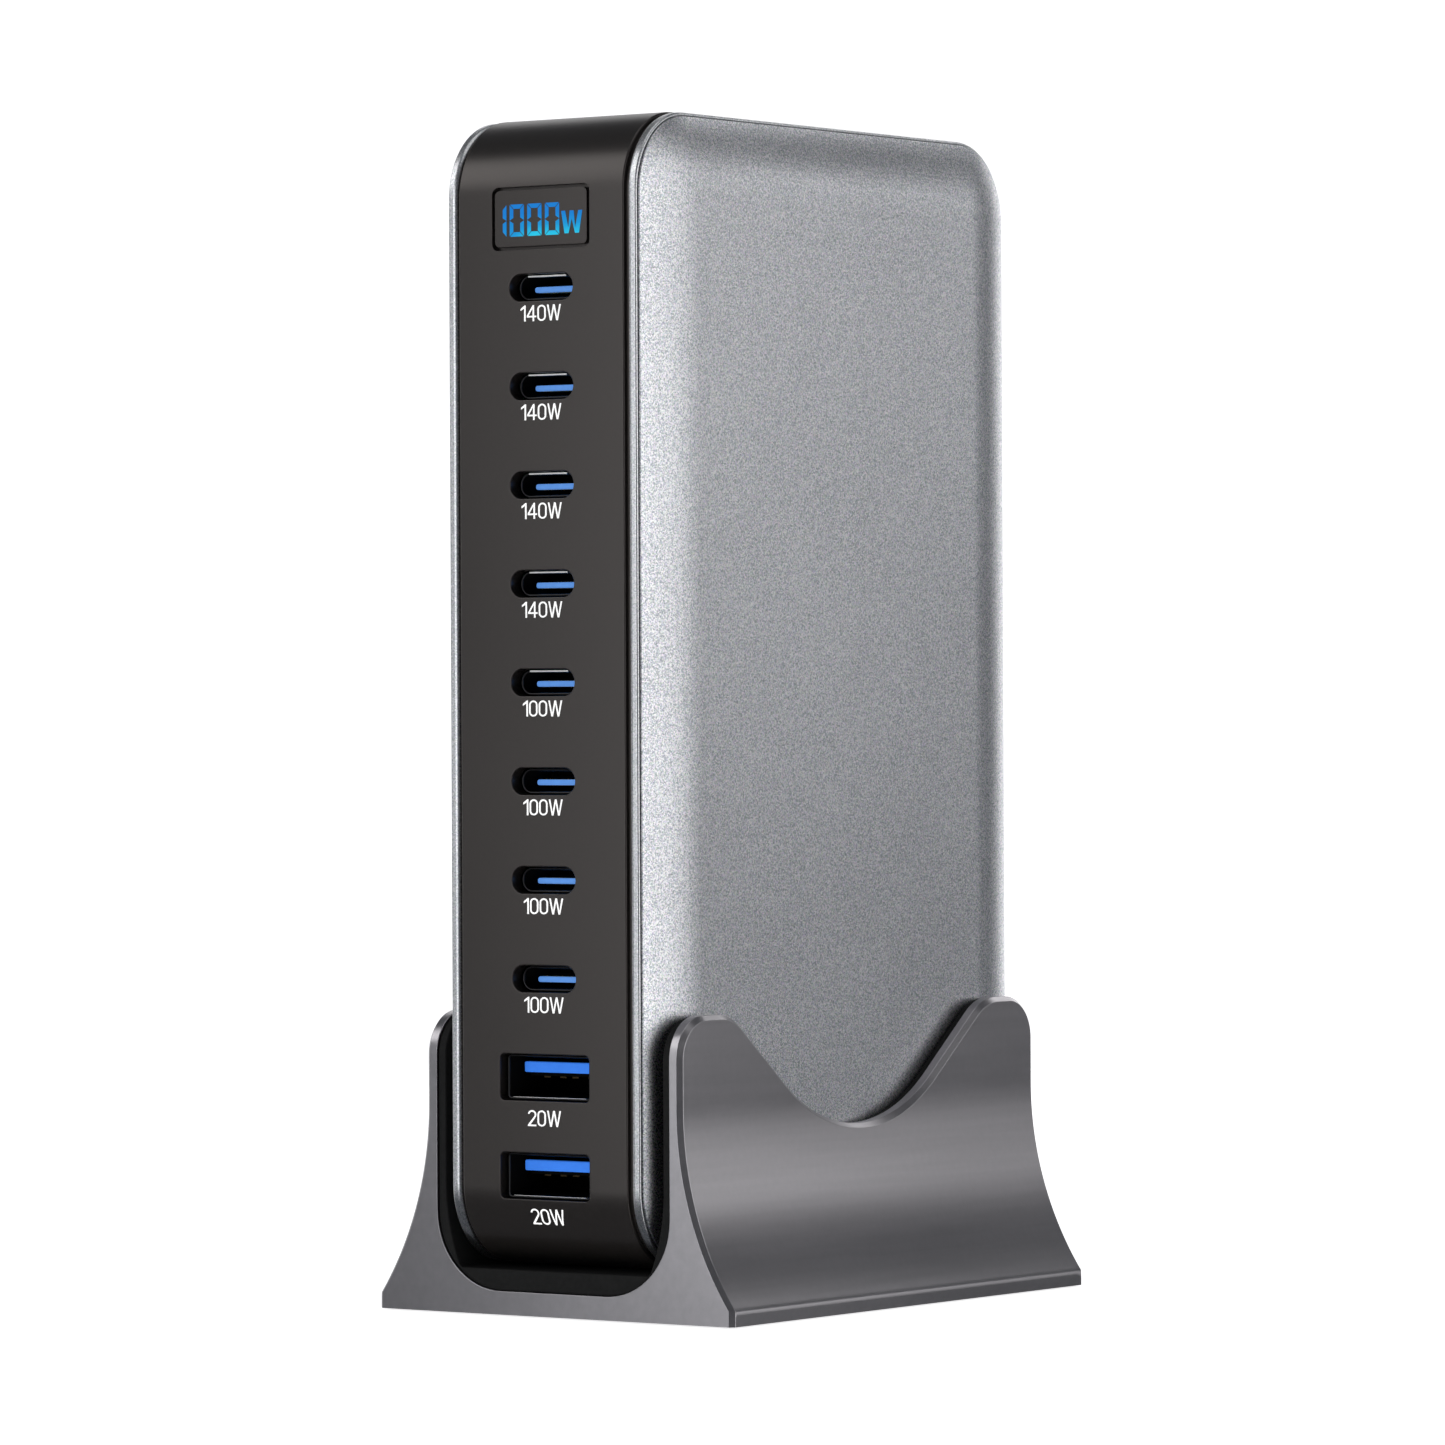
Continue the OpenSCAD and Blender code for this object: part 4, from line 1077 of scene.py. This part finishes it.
# ---------------------------------------------------------------- camera
AZ, EL, ROLL = math.radians(35.772), math.radians(0.143), math.radians(-0.262)
DIST, SIDE, RISE = 0.95623, -0.001922, 0.075351
FOCAL_PX, FRAME_PX, SENSOR_MM = 7297.06, 1445, 36.0
back = Vector((math.sin(AZ) * math.cos(EL), -math.cos(AZ) * math.cos(EL), math.sin(EL)))
right = Vector((math.cos(AZ), math.sin(AZ), 0))
up = back.cross(right)
cam_x = right * math.cos(ROLL) + up * math.sin(ROLL)
cam_y = up * math.cos(ROLL) - right * math.sin(ROLL)
cam = bpy.data.cameras.new("camera")
cam.sensor_width = SENSOR_MM
cam.lens = FOCAL_PX / FRAME_PX * SENSOR_MM
cam.clip_start, cam.clip_end = 0.01, 50
cam_ob = linked("camera", cam)
place = cam_x * SIDE + cam_y * RISE + back * DIST
cam_ob.matrix_world = Matrix.Translation(place) @ Matrix((cam_x, cam_y, back)).transposed().to_4x4()
bpy.context.scene.camera = cam_ob


# ---------------------------------------------------------------- floor and light
def stage_mesh(name, rings, mt):
    """A surface of revolution from (radius, height) rings in metres."""
    turns = 96
    a = np.linspace(0, 2 * math.pi, turns, endpoint=False)
    v = [(r * math.cos(t), r * math.sin(t), z) for r, z in rings for t in a]
    f = [(i + j, i + (j + 1) % turns, i + turns + (j + 1) % turns, i + turns + j)
         for i in range(0, (len(rings) - 1) * turns, turns) for j in range(turns)]
    mesh = bpy.data.meshes.new(name)
    mesh.from_pydata(v, [], f)
    mesh.materials.append(mt)
    mesh.polygons.foreach_set("use_smooth", [True] * len(f))
    ob = linked(name, mesh)
    return ob


M_FLOOR = material("studio_white", (0.90, 0.90, 0.90), rough=0.9, grain=(40, 0.004), cloud=(3, 0.004),
                   spec=0.1, bump=(60, 0.02, 0.00001), emission=0.92)
M_BACKDROP = material("backdrop_white", (1.0, 1.0, 1.0), rough=1.0, grain=(4, 0.002), cloud=(1, 0.002),
                      spec=0.0, bump=(60, 0.02, 0.00001), emission=1.1)
floor = stage_mesh("studio_floor", [(0.001, 0.0), (0.1, 0.0), (0.3, 0.0), (0.6, 0.0)], M_FLOOR)
floor.visible_glossy = False
DOME_R, POLE = 3.0, math.pi / 2 - 0.001
sky = [(DOME_R * math.cos(e), DOME_R * math.sin(e)) for e in np.linspace(-POLE, POLE, 40)]
dome = stage_mesh("studio_backdrop", sky, M_BACKDROP)
dome.visible_diffuse = dome.visible_glossy = dome.visible_transmission = dome.visible_shadow = False


def area(name, az, el, dist, size, radiance, target=(0, 0, 0.08), color=(1, 1, 1)):
    """Softbox at an azimuth (0 in front of the ports, 90 off the right side) and elevation in degrees.

    size is (width, height) in metres, and radiance is how bright its face is, whatever its size.
    """
    ld = bpy.data.lights.new(name, "AREA")
    ld.shape = "RECTANGLE"
    ld.size, ld.size_y = size
    ld.energy = radiance * math.pi * size[0] * size[1]
    ld.color = color
    ob = linked(name, ld)
    a, e = math.radians(az), math.radians(el)
    d = Vector((math.sin(a) * math.cos(e), -math.cos(a) * math.cos(e), math.sin(e)))
    ob.location = Vector(target) + d * dist
    ob.rotation_mode = "QUATERNION"
    ob.rotation_quaternion = d.to_track_quat("Z", "Y")
    ob.visible_camera = False


area("key_right", 102, -2, 0.5, (0.46, 0.62), 1.0)
area("key_front", 77, 0, 0.7, (0.34, 0.7), 0.8)
area("side_strip", 139.2, 7.8, 2.4, (0.58, 0.80), 0.87)
area("side_high", 142, 12.5, 2.4, (0.5, 0.18), 0.9)
area("low_line", 162, 34, 0.9, (0.34, 0.08), 2.4)
area("rim_back", 191.5, 8, 0.8, (0.46, 0.8), 1.5)
area("top", 60, 80, 0.9, (0.8, 0.8), 0.68)
area("front", -15, 4, 0.38, (0.22, 0.30), 1.6, color=(0.97, 0.985, 1.0))
area("front_high", -44, 34, 0.7, (0.28, 0.33), 1.75)
area("left_mid", -85, 6, 0.8, (0.62, 0.8), 0.8)
area("fill_left", -128, 8, 0.8, (0.5, 1.0), 0.9)
world = bpy.data.worlds.new("studio")
world.use_nodes = True
world.node_tree.nodes["Background"].inputs["Color"].default_value = (0.9, 0.96, 1.06, 1)
world.node_tree.nodes["Background"].inputs["Strength"].default_value = 0.08
bpy.context.scene.world = world
bpy.context.scene.view_settings.view_transform = "Standard"
